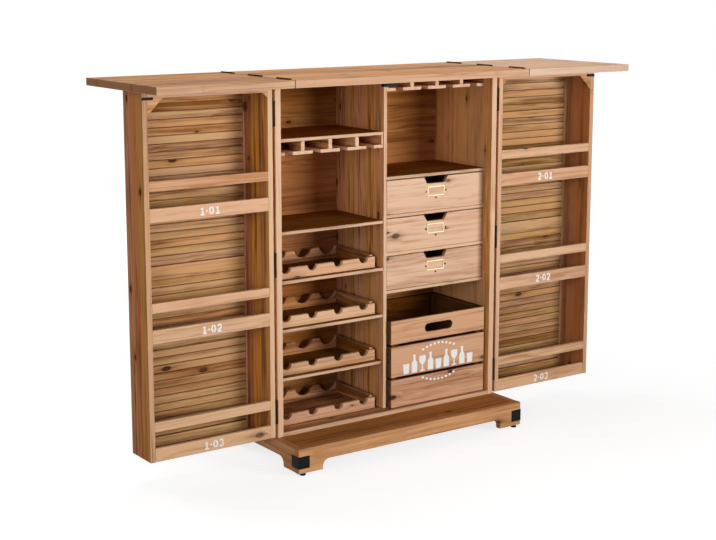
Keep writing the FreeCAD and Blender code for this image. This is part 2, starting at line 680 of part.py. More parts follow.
def door(name, side):
    """One door with its open side facing the front, as it stands when swung right back."""
    full_depth = (FRONT, DOOR_BACK)
    height = (DOOR_LOW, DOOR_HIGH)
    behind_rails = (RAIL_BACK, LOUVRE_FRONT)
    rail_depth = (FRONT, RAIL_BACK)
    louvre_span = (LOUVRE_FRONT, DOOR_BACK)
    width = mirrored(side, inside_door)
    hinge_side = mirrored(side, (DOOR_INNER, inside_door[0]))
    outer_side = mirrored(side, (inside_door[1], DOOR_OUTER))
    frame = [
        board(f"{name}_hinge_side", hinge_side, full_depth, height),
        board(f"{name}_outer_side", outer_side, full_depth, height),
        board(f"{name}_head", width, (FRONT, LOUVRE_FRONT), (CEILING, DOOR_HIGH)),
    ]
    node(f"{name}_frame", frame)

    shelves = []
    rails = []
    for index in range(DOOR_BAYS):
        low = f"({DOOR_LOW} + {DOOR_BAY}*{index})"
        keeper = f"({low} + low_rail + rail_opening)"
        shelf_faces = (low, f"{low} + door_shelf_board")
        shelves.append(board(f"{name}_shelf_{index}", width, behind_rails, shelf_faces))
        rails.append(board(f"{name}_low_rail_{index}", width, rail_depth, (low, f"{low} + low_rail")))
        rails.append(board(f"{name}_keeper_{index}", width, rail_depth, (keeper, f"{keeper} + high_rail")))
    node(f"{name}_shelves", shelves)
    node(f"{name}_rails", rails)

    stile_spans = [(inside_door[0], inside_stiles[0]), (inside_stiles[1], inside_door[1])]
    rail_spans = [
        (DOOR_LOW, f"{DOOR_LOW} + louvre_rail"),
        (f"{DOOR_MIDDLE} - louvre_rail/2", f"{DOOR_MIDDLE} + louvre_rail/2"),
        (f"{DOOR_HIGH} - louvre_rail", DOOR_HIGH),
    ]
    surround = []
    for index, span in enumerate(stile_spans):
        surround.append(board(f"{name}_stile_{index}", mirrored(side, span), louvre_span, height))
    for index, span in enumerate(rail_spans):
        surround.append(board(f"{name}_cross_{index}", mirrored(side, inside_stiles), louvre_span, span))
    node(f"{name}_louvre_frame", surround)
    fields = [(rail_spans[0][1], rail_spans[1][0]), (rail_spans[1][1], rail_spans[2][0])]
    slats = louvre_slats(name, side, fields[0], 0) + louvre_slats(name, side, fields[1], 1)
    node(f"{name}_louvre_slats", slats)

    gussets = []
    corners = ((inside_door[0], "+", "hinge_gusset_leg"), (inside_door[1], "-", "gusset_leg"))
    for index, (corner, way, leg) in enumerate(corners):
        triangle = [
            (f"{side}*({corner})", CEILING),
            (f"{side}*({corner} {way} {leg})", CEILING),
            (f"{side}*({corner})", f"{CEILING} - {leg}"),
        ]
        gussets.append(plate(f"{name}_gusset_{index}", "XZ", triangle, FRONT, "gusset_board"))
    node(f"{name}_gussets", gussets)

    strike_top = f"({DOOR_HIGH} - strike_drop)"
    strike_x = mirrored(side, (f"{DOOR_OUTER} - strike_width", DOOR_OUTER))
    strike_z = (f"{strike_top} - strike_height", strike_top)
    strike = board(f"{name}_strike", strike_x, (f"{FRONT} - strike_sheet", FRONT), strike_z)
    node(f"{name}_strike_plate", [strike])


door("left_door", -1)
door("right_door", 1)

# Hinges: a fixed leaf with two knuckles, a moving leaf with one between them, and a pin
KNUCKLE = "(hinge_length/3)"


def door_axes(side):
    """Where a door hinge's across, away and along spans lie: X, Y and Z."""
    axis_x = f"({HALF} + door_gap/2)"
    axis_y = f"({FRONT} - door_face_gap/2)"
    return {
        "place": lambda across, away, along: (
            mirrored(side, tuple(f"{axis_x} + {edge}" for edge in across)),
            tuple(f"{axis_y} + {edge}" for edge in away),
            along,
        ),
        "rod": lambda name, span, radius: rod(name, "z", (f"{side}*{axis_x}", axis_y), span, radius),
    }


def leaf_axes(side):
    """Where a leaf hinge's across, away and along spans lie: X, downwards along Z, and Y."""
    return {
        "place": lambda across, away, along: (
            mirrored(side, tuple(f"{SEAM} + {edge}" for edge in across)),
            along,
            tuple(f"{SEAM_AXIS} - ({edge})" for edge in reversed(away)),
        ),
        "rod": lambda name, span, radius: rod(name, "y", (f"{side}*{SEAM}", SEAM_AXIS), span, radius),
    }


def hinge(name, axes, gap, sheet_size, width, centre):
    """The two leaves and the pin of one butt hinge, its leaves on the facing edges of a gap."""
    place = axes["place"]
    round_bar = axes["rod"]
    ends = [f"({centre} - hinge_length/2)", f"({centre} + hinge_length/2)"]
    joints = [f"({centre} - {KNUCKLE}/2)", f"({centre} + {KNUCKLE}/2)"]
    fixed_zones = [
        (ends[0], f"{joints[0]} - knuckle_gap"),
        (f"{joints[1]} + knuckle_gap", ends[1]),
    ]
    moving_zones = [(joints[0], joints[1])]
    fixed_across = (f"(-{gap}/2)", f"(-{gap}/2 + {sheet_size})")
    moving_across = (f"({gap}/2 - {sheet_size})", f"({gap}/2)")
    sides = (("fixed", fixed_zones, fixed_across), ("moving", moving_zones, moving_across))
    leaves = []
    for kind, zones, across in sides:
        pieces = [board(f"{name}_{kind}_plate", *place(across, (TAB, f"({TAB} + {width})"), tuple(ends)))]
        for index, zone in enumerate(zones):
            pieces.append(board(f"{name}_{kind}_tab_{index}", *place(across, ("0", TAB), zone)))
            pieces.append(round_bar(f"{name}_{kind}_knuckle_{index}", zone, BARREL))
        bore = round_bar(f"{name}_{kind}_bore", tuple(ends), "hinge_pin_radius + pin_clearance")
        leaves.append(cut(f"{name}_{kind}_leaf", joined(f"{name}_{kind}_blank", pieces), [bore]))
    pin = round_bar(f"{name}_pin", tuple(ends), "hinge_pin_radius")
    return leaves[0], leaves[1], pin


fixed_leaves = {"door": [], "leaf": []}
pins = []
DOOR_HINGES = [f"({DOOR_LOW} + door_hinge_inset)", DOOR_MIDDLE, f"({DOOR_HIGH} - door_hinge_inset)"]
for side, name in ((-1, "left"), (1, "right")):
    for kind, axes, centres, fit in (
        ("door", door_axes(side), DOOR_HINGES, ("door_gap", "door_plate_sheet", "door_plate_width")),
        ("leaf", leaf_axes(side), LEAF_HINGES, ("seam_gap", "leaf_plate_sheet", "leaf_plate_width")),
    ):
        moving_leaves = []
        for index, centre in enumerate(centres):
            fixed, moving, pin = hinge(f"{name}_{kind}_hinge_{index}", axes, *fit, centre)
            fixed_leaves[kind].append(fixed)
            moving_leaves.append(moving)
            pins.append(pin)
        node(f"{name}_{kind}_hinge_leaves", moving_leaves)
node("door_hinge_fixed_leaves", fixed_leaves["door"])
node("leaf_hinge_fixed_leaves", fixed_leaves["leaf"])
node("hinge_pins", pins)

# Magnetic catch under the top, in front of the divider
catch_x = ("-catch_width/2", "catch_width/2")
catch_y = (FRONT, f"{FRONT} + catch_depth")
catch_z = (f"{HEAD} - catch_height", HEAD)
node("magnet_catch", [board("catch", catch_x, catch_y, catch_z)])

doc.recompute()
for item in doc.Objects:
    if "Invalid" in item.State or "Error" in item.State:
        raise RuntimeError(f"{item.Name} failed: {item.State}")
for part in nodes:
    if part.Shape.isNull() or not part.Shape.isValid() or not part.Shape.Solids:
        raise RuntimeError(f"{part.Label} has no valid shape")

os.makedirs("parts", exist_ok=True)
for part in nodes:
    part.Shape.exportStep(f"parts/{part.Label}.step")
print(len(nodes), "nodes,", sum(len(part.Shape.Solids) for part in nodes), "solids")
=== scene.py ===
# %% [markdown]
# # A fold-out bar cabinet in oiled fir
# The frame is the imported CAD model: 60 nodes on nine bodies, in metres, +Z up, front towards -Y.
# This lesson dresses it. Every board is built again with eased edges and a grain of its own, and the
# small fittings get their steel, brass and paint. Each piece reads its place from the node that it
# stands for, so it sits where the CAD model has it.

# %% Load the frame
import json
from collections import namedtuple

import bpy
import numpy as np
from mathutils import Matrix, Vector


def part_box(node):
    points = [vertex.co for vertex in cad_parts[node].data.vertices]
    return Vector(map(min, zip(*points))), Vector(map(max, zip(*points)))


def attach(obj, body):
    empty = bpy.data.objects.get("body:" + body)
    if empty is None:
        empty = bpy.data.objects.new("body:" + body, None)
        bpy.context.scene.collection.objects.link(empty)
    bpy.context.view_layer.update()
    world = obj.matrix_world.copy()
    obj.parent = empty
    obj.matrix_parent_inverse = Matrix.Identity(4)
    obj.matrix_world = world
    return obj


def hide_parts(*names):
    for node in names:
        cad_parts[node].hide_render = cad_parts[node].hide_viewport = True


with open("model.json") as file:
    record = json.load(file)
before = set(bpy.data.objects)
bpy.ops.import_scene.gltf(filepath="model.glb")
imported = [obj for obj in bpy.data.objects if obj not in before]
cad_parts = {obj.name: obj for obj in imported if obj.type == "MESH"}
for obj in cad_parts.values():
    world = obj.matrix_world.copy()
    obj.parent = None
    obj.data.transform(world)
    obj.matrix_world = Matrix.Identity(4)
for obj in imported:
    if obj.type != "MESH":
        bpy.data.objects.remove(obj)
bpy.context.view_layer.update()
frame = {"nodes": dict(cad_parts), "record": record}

record = frame["record"]
body_of = {node: body for body, nodes in record["behaviour"]["bodies"].items() for node in nodes}
rng = np.random.default_rng(21)
MM = 0.001

# %% [markdown]
# ## What a piece is
# A piece is a bag of whole arrays: its points, its faces in blocks of equal corner counts, and what the
# wood finish needs to know. `grain` gives each point's place in its own board, in metres along, across
# and through the wood. `board` gives a seed, a tone and the width of the glued staves. `narrow` is 1 on
# a board's edges, 2 on open end grain and 3 in a seam. Blender's own texture coordinates can't say any of
# this, because one object holds many boards that lie in different directions.

# %% Shapes and objects
Shape = namedtuple("Shape", "points faces grain board narrow")
SHARP_TURN = np.radians(50)


def joined(shapes):
    """Several shapes as one: their arrays end to end, each one's faces counted on from the last."""
    starts = np.cumsum([0] + [len(shape.points) for shape in shapes])
    faces = [block + start for shape, start in zip(shapes, starts) for block in shape.faces]
    fields = ("points", "grain", "board", "narrow")
    points, *facts = [np.concatenate([getattr(shape, field) for shape in shapes]) for field in fields]
    return Shape(points, faces, *facts)


def placed(name, data):
    """A new object in the scene that shows a mesh, a lamp or a lens."""
    thing = bpy.data.objects.new(name, data)
    bpy.context.scene.collection.objects.link(thing)
    return thing


def add_piece(name, shape, material, body):
    """Puts a shape into a mesh object at the origin, with its wood attributes, riding on a body."""
    mesh = bpy.data.meshes.new(name)
    mesh.from_pydata(shape.points.tolist(), [], [face for block in shape.faces for face in block.tolist()])
    for label, values in (("grain", shape.grain), ("board", shape.board)):
        attribute = mesh.attributes.new(label, "FLOAT_VECTOR", "POINT")
        attribute.data.foreach_set("vector", values.astype(np.float32).ravel())
    narrow = mesh.attributes.new("narrow", "FLOAT", "FACE")
    narrow.data.foreach_set("value", shape.narrow.astype(np.float32))
    mesh.polygons.foreach_set("use_smooth", np.ones(len(mesh.polygons), bool))
    mesh.set_sharp_from_angle(angle=SHARP_TURN)
    mesh.materials.append(material)
    piece = placed(name, mesh)
    piece.modifiers.new("level_faces", "WEIGHTED_NORMAL").keep_sharp = True
    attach(piece, body)
    return piece


def stand_beside(node, word, shape, material):
    """A piece that shows a share of a CAD node, on the node's body."""
    return add_piece(f"{node}_{word}", shape, material, body_of[node])


def stand_in(node, word, shape, material):
    """A piece that takes a CAD node's place."""
    piece = stand_beside(node, word, shape, material)
    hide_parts(node)


def corners(node):
    """A node's lowest and highest corner as arrays."""
    return [np.array(corner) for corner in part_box(node)]


print("bodies:", sorted(set(body_of.values())))

# %% [markdown]
# ## Shader nodes in few words
# The finishes are node trees. A few helpers keep them readable: `plug` sets a socket to a number or to
# another node's output, `make` makes a node and plugs its inputs, and the rest are common steps. The
# trees could be wired by hand in the Shader Editor; written down like this they can be read as sums.

# %% Node helpers
def plug(tree, value, socket):
    """Links an output to a socket, or sets the socket to a constant."""
    if isinstance(value, bpy.types.NodeSocket):
        tree.links.new(value, socket)
    else:
        socket.default_value = value


def make(tree, kind, inputs=(), output=0, **settings):
    """A shader node with its settings and inputs; returns one of its outputs."""
    node = tree.nodes.new("ShaderNode" + kind)
    for key, value in settings.items():
        setattr(node, key, value)
    for key, value in inputs.items() if isinstance(inputs, dict) else enumerate(inputs):
        plug(tree, value, node.inputs[key])
    return node.outputs[output]


def sums(tree, operation, *values):
    """One step of arithmetic."""
    return make(tree, "Math", values, operation=operation)


def ramp_between(tree, value, low, high):
    """0 below low, 1 above high, and a smooth step between them."""
    names = {"Value": value, "From Min": low, "From Max": high}
    return make(tree, "MapRange", names, interpolation_type="SMOOTHSTEP")


def blend_colours(tree, share, first, second):
    """The first colour where share is 0, the second where it is 1. A Mix node has its two colours in inputs
    6 and 7 and the blend in output 2."""
    return make(tree, "Mix", {0: share, 6: first, 7: second}, 2, data_type="RGBA")


def new_group(name, inputs, outputs):
    """A shader node group with named sockets; returns it with what it is given and what it results in."""
    group = bpy.data.node_groups.new(name, "ShaderNodeTree")
    kinds = {"colour": "NodeSocketColor", "vector": "NodeSocketVector", "value": "NodeSocketFloat"}
    for in_out, sockets in (("INPUT", inputs), ("OUTPUT", outputs)):
        for label, kind in sockets.items():
            group.interface.new_socket(label, in_out=in_out, socket_type=kinds[kind])
    return group, group.nodes.new("NodeGroupInput").outputs, group.nodes.new("NodeGroupOutput").inputs


def three_of(tree, vector):
    """A vector's three numbers."""
    return make(tree, "SeparateXYZ", [vector]).node.outputs


print("node helpers: 7")

# %% [markdown]
# ## Fir: staves
# The cabinet's panels are glued up from strips of fir, about 80 mm wide, and each strip comes from
# another tree. The group starts by finding the strip a point lies in and gives each strip three
# random numbers. A plain board has one strip. A photograph of wood would look the same on every board;
# this never repeats.

# %% Staves
fir, given, result = new_group(
    "Fir boards",
    {"Grain": "vector", "Board": "vector", "Narrow": "value", "Early wood": "colour", "Late wood": "colour",
     "Sanded edge": "colour", "Edge share": "value", "Knots": "value", "Variety": "value"},
    {"Colour": "colour", "Roughness": "value", "Height": "value"},
)
LOG_STEP, STRIP_KEY = 9.0, 0.37


def in_fir(operation):
    """A sum that adds its node to the fir group."""
    return lambda *values: sums(fir, operation, *values)


def vector_of(*values):
    """Three numbers of the fir group as one vector."""
    return make(fir, "CombineXYZ", values)


plus, minus, times, times_plus = map(in_fir, ("ADD", "SUBTRACT", "MULTIPLY", "MULTIPLY_ADD"))
over, fraction, whole, power = map(in_fir, ("DIVIDE", "FRACT", "FLOOR", "POWER"))
fading = in_fir("EXPONENT")
along, across, through = three_of(fir, given["Grain"])
seed, tone, stave = three_of(fir, given["Board"])
strip = plus(plus(over(across, stave), 0.5), fraction(seed))
strip_number = whole(strip)
strip_key = {"Vector": vector_of(strip_number, seed, STRIP_KEY)}
strip_noise = make(fir, "TexWhiteNoise", strip_key, "Color", noise_dimensions="3D")
chance_1, chance_2, chance_3 = three_of(fir, strip_noise)
from_middle = times(plus(fraction(strip), -0.5), stave)
shifted = times_plus(chance_1, LOG_STEP, along)
print("staves:", len(fir.nodes), "nodes")

# %% [markdown]
# ## Fir: knots
# A knot is a branch cut through: a dark core, a reddish rim, and dark streaks before and behind it where
# the grain closes up. Each cell of a stretched Voronoi pattern has one place, and a knot is kept where
# the cell's random number is low. They could be painted one by one, but then no two parts would share them.

# %% Knots
CELL_LONG, CELL_WIDE = 0.21, 0.075
KNOT_LEAST, KNOT_SPREAD, KNOT_STRETCH = 0.0030, 0.0058, 1.9
CORE_FROM, CORE_TO = 0.45, 1.15
SWIRL_FADE, TAIL_FADE_ASIDE, TAIL_FADE_ALONG = -0.3, -3.5, -0.28
cell_place = vector_of(over(shifted, CELL_LONG), plus(over(across, CELL_WIDE), seed), 0.0)
cell_spot = {"Vector": cell_place, "Scale": 1.0}
cells = make(fir, "TexVoronoi", cell_spot, voronoi_dimensions="2D").node.outputs
cell_away = make(fir, "VectorMath", [cell_place, cells["Position"]], operation="SUBTRACT")
away_1, away_2, _ = three_of(fir, cell_away)
cell_1, cell_2, _ = three_of(fir, cells["Color"])
present = sums(fir, "GREATER_THAN", given["Knots"], cell_1)
knot_radius = times_plus(cell_2, KNOT_SPREAD, KNOT_LEAST)
long_share = over(times(away_1, CELL_LONG), times(knot_radius, KNOT_STRETCH))
aside_share = over(times(away_2, CELL_WIDE), knot_radius)
aside_squared = times(aside_share, aside_share)
gap_squared = times_plus(long_share, long_share, aside_squared)
swirl = times(present, fading(times(gap_squared, SWIRL_FADE)))
core = times(present, minus(1.0, ramp_between(fir, gap_squared, CORE_FROM, CORE_TO)))
tail_aside = fading(times(aside_squared, TAIL_FADE_ASIDE))
tail_along = fading(times(sums(fir, "ABSOLUTE", long_share), TAIL_FADE_ALONG))
tail = times(present, times(tail_aside, tail_along))
print("with knots:", len(fir.nodes), "nodes")

# %% [markdown]
# ## Fir: rings and fibres
# A tree is rings round a pith. The group works out how far a point lies from the pith of its own strip and
# makes the late wood of each ring darker, so faces show long lines and ends show arcs. Knots push the
# rings aside, as branches do. Finer streaks and fibres are noise drawn out along the grain.

# %% Rings and fibres
BEND_RATE, BEND_ASIDE, BEND_BELOW = 1.9, 0.05, 0.04
PITH_ASIDE, PITH_BELOW, PITH_LEAST = 0.11, 0.07, 0.02
RING_LEAST, RING_SPREAD, RING_WOBBLE, KNOT_PUSH = 0.0058, 0.0075, 1.6, 0.007
LATE_POWER, LATE_TURN, LATE_LEAST = 2.2, 0.86, 0.45
wander_at = vector_of(times(shifted, BEND_RATE), strip_number, seed)
wander = make(fir, "TexNoise", {"Vector": wander_at, "Scale": 1.0, "Detail": 2.0}, "Color")
wander_1, wander_2, _ = three_of(fir, wander)
aside = plus(from_middle, times_plus(chance_2, PITH_ASIDE, -PITH_ASIDE / 2))
aside = plus(aside, times_plus(wander_1, BEND_ASIDE, -BEND_ASIDE / 2))
below = plus(through, times_plus(chance_3, PITH_BELOW, PITH_LEAST))
below = plus(below, times_plus(wander_2, BEND_BELOW, -BEND_BELOW / 2))
pith_gap = sums(fir, "SQRT", times_plus(aside, aside, times(below, below)))


def drawn_out(stretch, fineness, detail):
    """Noise that is long along the grain and fine across it."""
    spot = vector_of(times(shifted, stretch), times(across, fineness), times_plus(through, fineness, seed))
    return make(fir, "TexNoise", {"Vector": spot, "Scale": 1.0, "Detail": detail})


broad, streak = drawn_out(1.3, 36.0, 2.0), drawn_out(3.0, 120.0, 3.0)
patch, fibre = drawn_out(7.0, 16.0, 2.0), drawn_out(22.0, 1100.0, 2.0)
ring_width = times_plus(chance_1, RING_SPREAD, RING_LEAST)
ring = times_plus(streak, RING_WOBBLE, over(times_plus(swirl, KNOT_PUSH, pith_gap), ring_width))
ring_key = {"Vector": vector_of(whole(ring), strip_number, seed)}
ring_noise = make(fir, "TexWhiteNoise", ring_key, noise_dimensions="3D")
ring_share = fraction(ring)
before_turn = minus(1.0, ramp_between(fir, ring_share, LATE_TURN, 1.0))
darkening = times(power(ring_share, LATE_POWER), before_turn)
late = times(darkening, times_plus(ring_noise, 1.0, LATE_LEAST))
print("with rings:", len(fir.nodes), "nodes")

# %% [markdown]
# ## Fir: colour, sheen and relief
# Early and late wood are blended by ring, streak and fibre. Each strip is then turned a little towards
# gold or red, the sanded edges get a colour of their own, end grain goes dark because it drinks the oil,
# the faces in a seam get a painted shade, nearly black, for the shadow in the gap, and the knots go on
# last. Roughness and relief follow the fibres.

# %% Wood colour
DARK_SHARES = ((late, 0.75), (streak, 1.7), (broad, 1.7), (fibre, 0.3), (patch, 1.0))
DARK_START, DARK_MOST, STRIP_DARK, STRIP_HUE, STRIP_FULL = -2.28, 1.25, 0.6, 0.018, 0.18
variety = given["Variety"]
depth = plus(tone, DARK_START)
for pattern, share in DARK_SHARES:
    depth = times_plus(pattern, share, depth)
depth = times_plus(plus(chance_3, -0.48), times(variety, STRIP_DARK), depth)
depth = make(fir, "Clamp", [depth, 0.0, DARK_MOST])
heart = blend_colours(fir, depth, given["Early wood"], given["Late wood"])
turned_hue = times_plus(plus(chance_2, -0.45), times(variety, STRIP_HUE), 0.5)
fuller = times_plus(plus(chance_1, -0.5), times(variety, STRIP_FULL), 1.02)
colour = make(fir, "HueSaturation", {"Hue": turned_hue, "Saturation": fuller, "Color": heart})
is_edge, is_end, seam_shade = (ramp_between(fir, given["Narrow"], low, low + 1.0) for low in (0.0, 1.0, 2.0))
edge_colour = blend_colours(fir, times(depth, 0.45), given["Sanded edge"], heart)
layers = (
    (is_edge, given["Edge share"], edge_colour),
    (is_end, 0.85, (0.235, 0.082, 0.018, 1.0)),
    # The seam layer is painted shade: near black for the shadow in the gap between the top boards.
    (seam_shade, 1.0, (0.030, 0.012, 0.006, 1.0)),
    (swirl, 0.55, (0.22, 0.070, 0.022, 1.0)),
    (tail, 0.55, (0.13, 0.042, 0.014, 1.0)),
    (core, 0.93, (0.035, 0.012, 0.006, 1.0)),
)
for place, share, layer in layers:
    colour = blend_colours(fir, times(place, share), colour, layer)
plug(fir, colour, result["Colour"])
plug(fir, times_plus(fibre, 0.22, 0.42), result["Roughness"])
plug(fir, minus(times_plus(fibre, 0.5, times(late, 0.5)), core), result["Height"])
print("fir group:", len(fir.nodes), "nodes,", len(layers), "layers of colour")

# %% [markdown]
# ## The wood finishes
# The cabinet shows one kind of fir in several tones: pale drawer fronts and rails, honey slats, striped
# reddish doors and a browner inside; the back planks and the shelves are darker still, which is painted
# shade. Each tone is the same group with its own early and late wood, in linear values, and with its own
# share of knots and variety between the strips.

# %% Wood materials
def group_finish(name, group, inputs, relief, depth, shine):
    """A finish whose colour, roughness and relief come from a node group; returns it and the group's node."""
    material = bpy.data.materials.new(name)
    material.use_nodes = True
    tree = material.node_tree
    surface = tree.nodes.new("ShaderNodeGroup")
    surface.node_tree = group
    for label, value in inputs.items():
        plug(tree, value, surface.inputs[label])
    colour, roughness, height = surface.outputs
    bump = make(tree, "Bump", {"Strength": relief, "Distance": depth, "Height": height})
    wires = {"Base Color": colour, "Roughness": roughness, "Normal": bump, **shine}
    for label, value in wires.items():
        plug(tree, value, tree.nodes["Principled BSDF"].inputs[label])
    return material, surface


def wood(name, early, late, sanded, edge_share, knots, variety=1.0, gloss=0.15):
    """An oiled wood finish: the fir group gives colour, roughness and a slight relief."""
    inputs = {"Early wood": (*early, 1.0), "Late wood": (*late, 1.0), "Sanded edge": (*sanded, 1.0),
              "Edge share": edge_share, "Knots": knots, "Variety": variety}
    material, timber = group_finish(name, fir, inputs, 0.25, 0.6 * MM, {"Specular IOR Level": gloss})
    tree = material.node_tree
    for label, output in (("Grain", "Vector"), ("Board", "Vector"), ("Narrow", "Fac")):
        attribute = make(tree, "Attribute", output=output, attribute_name=label.lower())
        plug(tree, attribute, timber.inputs[label])
    return material


PALE_EDGE, TOP_EDGE, LEAF_EDGE = (0.78, 0.53, 0.36), (0.64, 0.42, 0.28), (0.56, 0.37, 0.25)
BASE_EDGE, DECK_EDGE = (0.42, 0.175, 0.058), (0.45, 0.178, 0.053)
# The slats' dark edge colour is painted shade, for the dark lines between the slats.
SLAT_EDGE_SHADE, CRATE_EDGE_SHADE = (0.13, 0.048, 0.013), (0.045, 0.017, 0.006)
# Each row: early wood, late wood, sanded edge and its share, knots, variety, and gloss if not the usual.
fir_top = wood("fir_top", (0.77, 0.375, 0.155), (0.22, 0.072, 0.020), TOP_EDGE, 0.8, 0.30, 0.9, 0.04)
# The right leaf's pale wood is partly its own tone and partly a painted sheen.
fir_pale_sheen_top = wood("fir_pale_sheen_top", (0.77, 0.43, 0.215), (0.38, 0.155, 0.058), LEAF_EDGE, 0.9, 0.3, 0.7, 0.6)
fir_door = wood("fir_door", (0.53, 0.235, 0.098), (0.20, 0.070, 0.022), PALE_EDGE, 0.5, 0.50, 1.0, 0.0)
fir_hinge_lit = wood("fir_hinge_lit", (0.68, 0.325, 0.115), (0.245, 0.090, 0.025), PALE_EDGE, 0.85, 0.50, 1.2, 0.0)
fir_inside = wood("fir_inside", (0.75, 0.370, 0.152), (0.24, 0.086, 0.026), PALE_EDGE, 0.9, 0.42, 0.8, 0.05)
# The dark wood of the back planks and the shelves is painted shade deep in the cabinet.
fir_back_shade = wood("fir_back_shade", (0.48, 0.198, 0.060), (0.22, 0.078, 0.021), PALE_EDGE, 0.2, 0.42, 0.6, 0.0)
fir_shelf_shade = wood("fir_shelf_shade", (0.29, 0.118, 0.028), (0.14, 0.048, 0.010), PALE_EDGE, 0.9, 0.38, 0.8, 0.0)
fir_front = wood("fir_front", (0.75, 0.485, 0.32), (0.50, 0.25, 0.135), PALE_EDGE, 0.4, 0.26, 0.6)
fir_rail = wood("fir_rail", (0.75, 0.455, 0.275), (0.46, 0.215, 0.105), PALE_EDGE, 0.35, 0.28, 0.7)
# The crate's dark edge colour and the dark wood of its inner slats, floor and posts are painted shade.
fir_crate = wood("fir_crate", (0.67, 0.370, 0.210), (0.38, 0.165, 0.075), CRATE_EDGE_SHADE, 0.9, 0.30, 0.6)
fir_crate_shade = wood("fir_crate_shade", (0.22, 0.085, 0.022), (0.10, 0.034, 0.008), CRATE_EDGE_SHADE, 0.9, 0.38, 0.8, 0.0)
fir_slat = wood("fir_slat", (0.64, 0.375, 0.180), (0.23, 0.095, 0.031), SLAT_EDGE_SHADE, 0.95, 0.30, 0.9, 0.05)
fir_base = wood("fir_base", (0.68, 0.375, 0.195), (0.40, 0.180, 0.075), BASE_EDGE, 0.9, 0.30, 0.5, 0.08)
fir_deck = wood("fir_deck", (0.45, 0.178, 0.053), (0.19, 0.062, 0.015), DECK_EDGE, 0.6, 0.34, 0.7, 0.0)
print("wood finishes:", [m.name for m in bpy.data.materials if m.name.startswith("fir_")])

# %% [markdown]
# ## Boards
# A sawn board is a box, but its edges are eased with sandpaper, and that thin highlight makes it read as
# wood. A Bevel modifier on boxes would do. Carrying a rounded rectangle along each board gives the same
# and keeps every point's place in the wood, for all the boards of a node at once. A stave as wide as WHOLE
# is wider than any board here, so that board is one strip.

# %% Rounded boards
EASE, WHOLE = 1.2 * MM, 0.6
FACE, EASED, EDGE, END_GRAIN, SEAM = 0.0, 0.5, 1.0, 2.0, 3.0
CORNER_TURNS = np.radians([0, 45, 90])
CORNER_SIDES = np.array([[1, 1], [-1, 1], [-1, -1], [1, -1]])
END_PLACES = np.array([0.0, 0.3, 1.0])
END_FULLNESS = np.array([0.35, 0.75, 1.0])
RINGS, AROUND = 2 * len(END_PLACES), 4 * len(CORNER_TURNS)
STRIP_NARROW = np.array([EASED, EASED, FACE, EASED, EASED, EDGE] * 2)
SEEDS, LOG_REACH, TONE_SPREAD = 90, 4, 0.09


def ring_faces(rings, count, closed=False):
    """Quads from each ring of points to the next one; closed also joins the last ring to the first."""
    ring, place = np.meshgrid(np.arange(rings - (not closed)), np.arange(count), indexing="ij")
    here, there, after = ring * count, (ring + 1) % rings * count, (place + 1) % count
    return np.stack([here + place, here + after, there + after, there + place], axis=-1).reshape(-1, 4)


def end_faces(rings, count):
    """The two flat faces that close a tube of rings."""
    return np.stack([np.arange(count)[::-1], (rings - 1) * count + np.arange(count)])


def wood_facts(count, repeats, tone, stave):
    """Seed, tone and stave width of each board, repeated for each of its points."""
    seeds = rng.uniform(0, SEEDS, count)
    seeds = np.floor(seeds) if stave >= WHOLE else seeds
    facts = np.column_stack([seeds, tone + rng.normal(0, TONE_SPREAD, count), np.full(count, stave)])
    return np.repeat(facts, repeats, axis=0)


def rounded_boards(centre, half, axes, tone=0.0, stave=WHOLE, ease=EASE):
    """Boards with eased edges. Ring i of a board lies at its end plus ease times END_PLACES[i]. Round the
    ring, corner k is at the half size less ease, plus ease times END_FULLNESS[i] times (cos t, sin t)."""
    count = len(centre)
    ease = np.minimum(ease, 0.9 * half[:, 2])[:, None, None]
    turn = (np.radians(90) * np.arange(4)[:, None] + CORNER_TURNS).ravel()
    side = np.repeat(CORNER_SIDES, len(CORNER_TURNS), axis=0)
    full = np.concatenate([END_FULLNESS, END_FULLNESS[::-1]])[None, :, None]
    run = ease[:, :, 0] * END_PLACES - half[:, :1]
    u = np.broadcast_to(np.concatenate([run, -run[:, ::-1]], axis=1)[:, :, None], (count, RINGS, AROUND))
    v = side[:, 0] * (half[:, 1, None, None] - ease) + ease * full * np.cos(turn)
    w = side[:, 1] * (half[:, 2, None, None] - ease) + ease * full * np.sin(turn)
    local = np.stack([u, v, w], axis=-1).reshape(count, -1, 3)
    starts = RINGS * AROUND * np.arange(count)[:, None, None]
    walls, ends = ring_faces(RINGS, AROUND) + starts, end_faces(RINGS, AROUND) + starts
    band = np.full((RINGS - 1, AROUND), EDGE)
    band[len(END_PLACES) - 1] = STRIP_NARROW
    narrow = np.concatenate([np.tile(band.ravel(), count), np.full(2 * count, EDGE)])
    grain = local + rng.uniform(-LOG_REACH, LOG_REACH, count)[:, None, None] * [1, 0, 0]
    points = centre[:, None] + local @ axes
    facts = wood_facts(count, RINGS * AROUND, tone, stave)
    faces = [walls.reshape(-1, 4), ends.reshape(-1, AROUND)]
    return Shape(points.reshape(-1, 3), faces, grain.reshape(-1, 3), facts, narrow)


print("a board:", RINGS * AROUND, "points")

# %% [markdown]
# ## The plain boards of every node
# Most nodes are plain boards: panels, shelves, frames, boxes and slats. Their corners are read from the
# CAD node, the longest side takes the grain, and a table gives each node its finish, stave and tone.
# Typing the sizes again would be shorter, but a change in the CAD would then leave the scene behind.

# %% Plain boards
def box_corners(node):
    """Low and high corners of a node's boards. Each board arrives as twelve triangles, one after another."""
    mesh = frame["nodes"][node].data
    corner_of = np.empty(3 * len(mesh.polygons), np.int32)
    mesh.polygons.foreach_get("vertices", corner_of)
    places = np.empty(3 * len(mesh.vertices), np.float32)
    mesh.vertices.foreach_get("co", places)
    boards = places.reshape(-1, 3)[corner_of].reshape(-1, 36, 3).astype(float)
    return boards.min(axis=1), boards.max(axis=1)


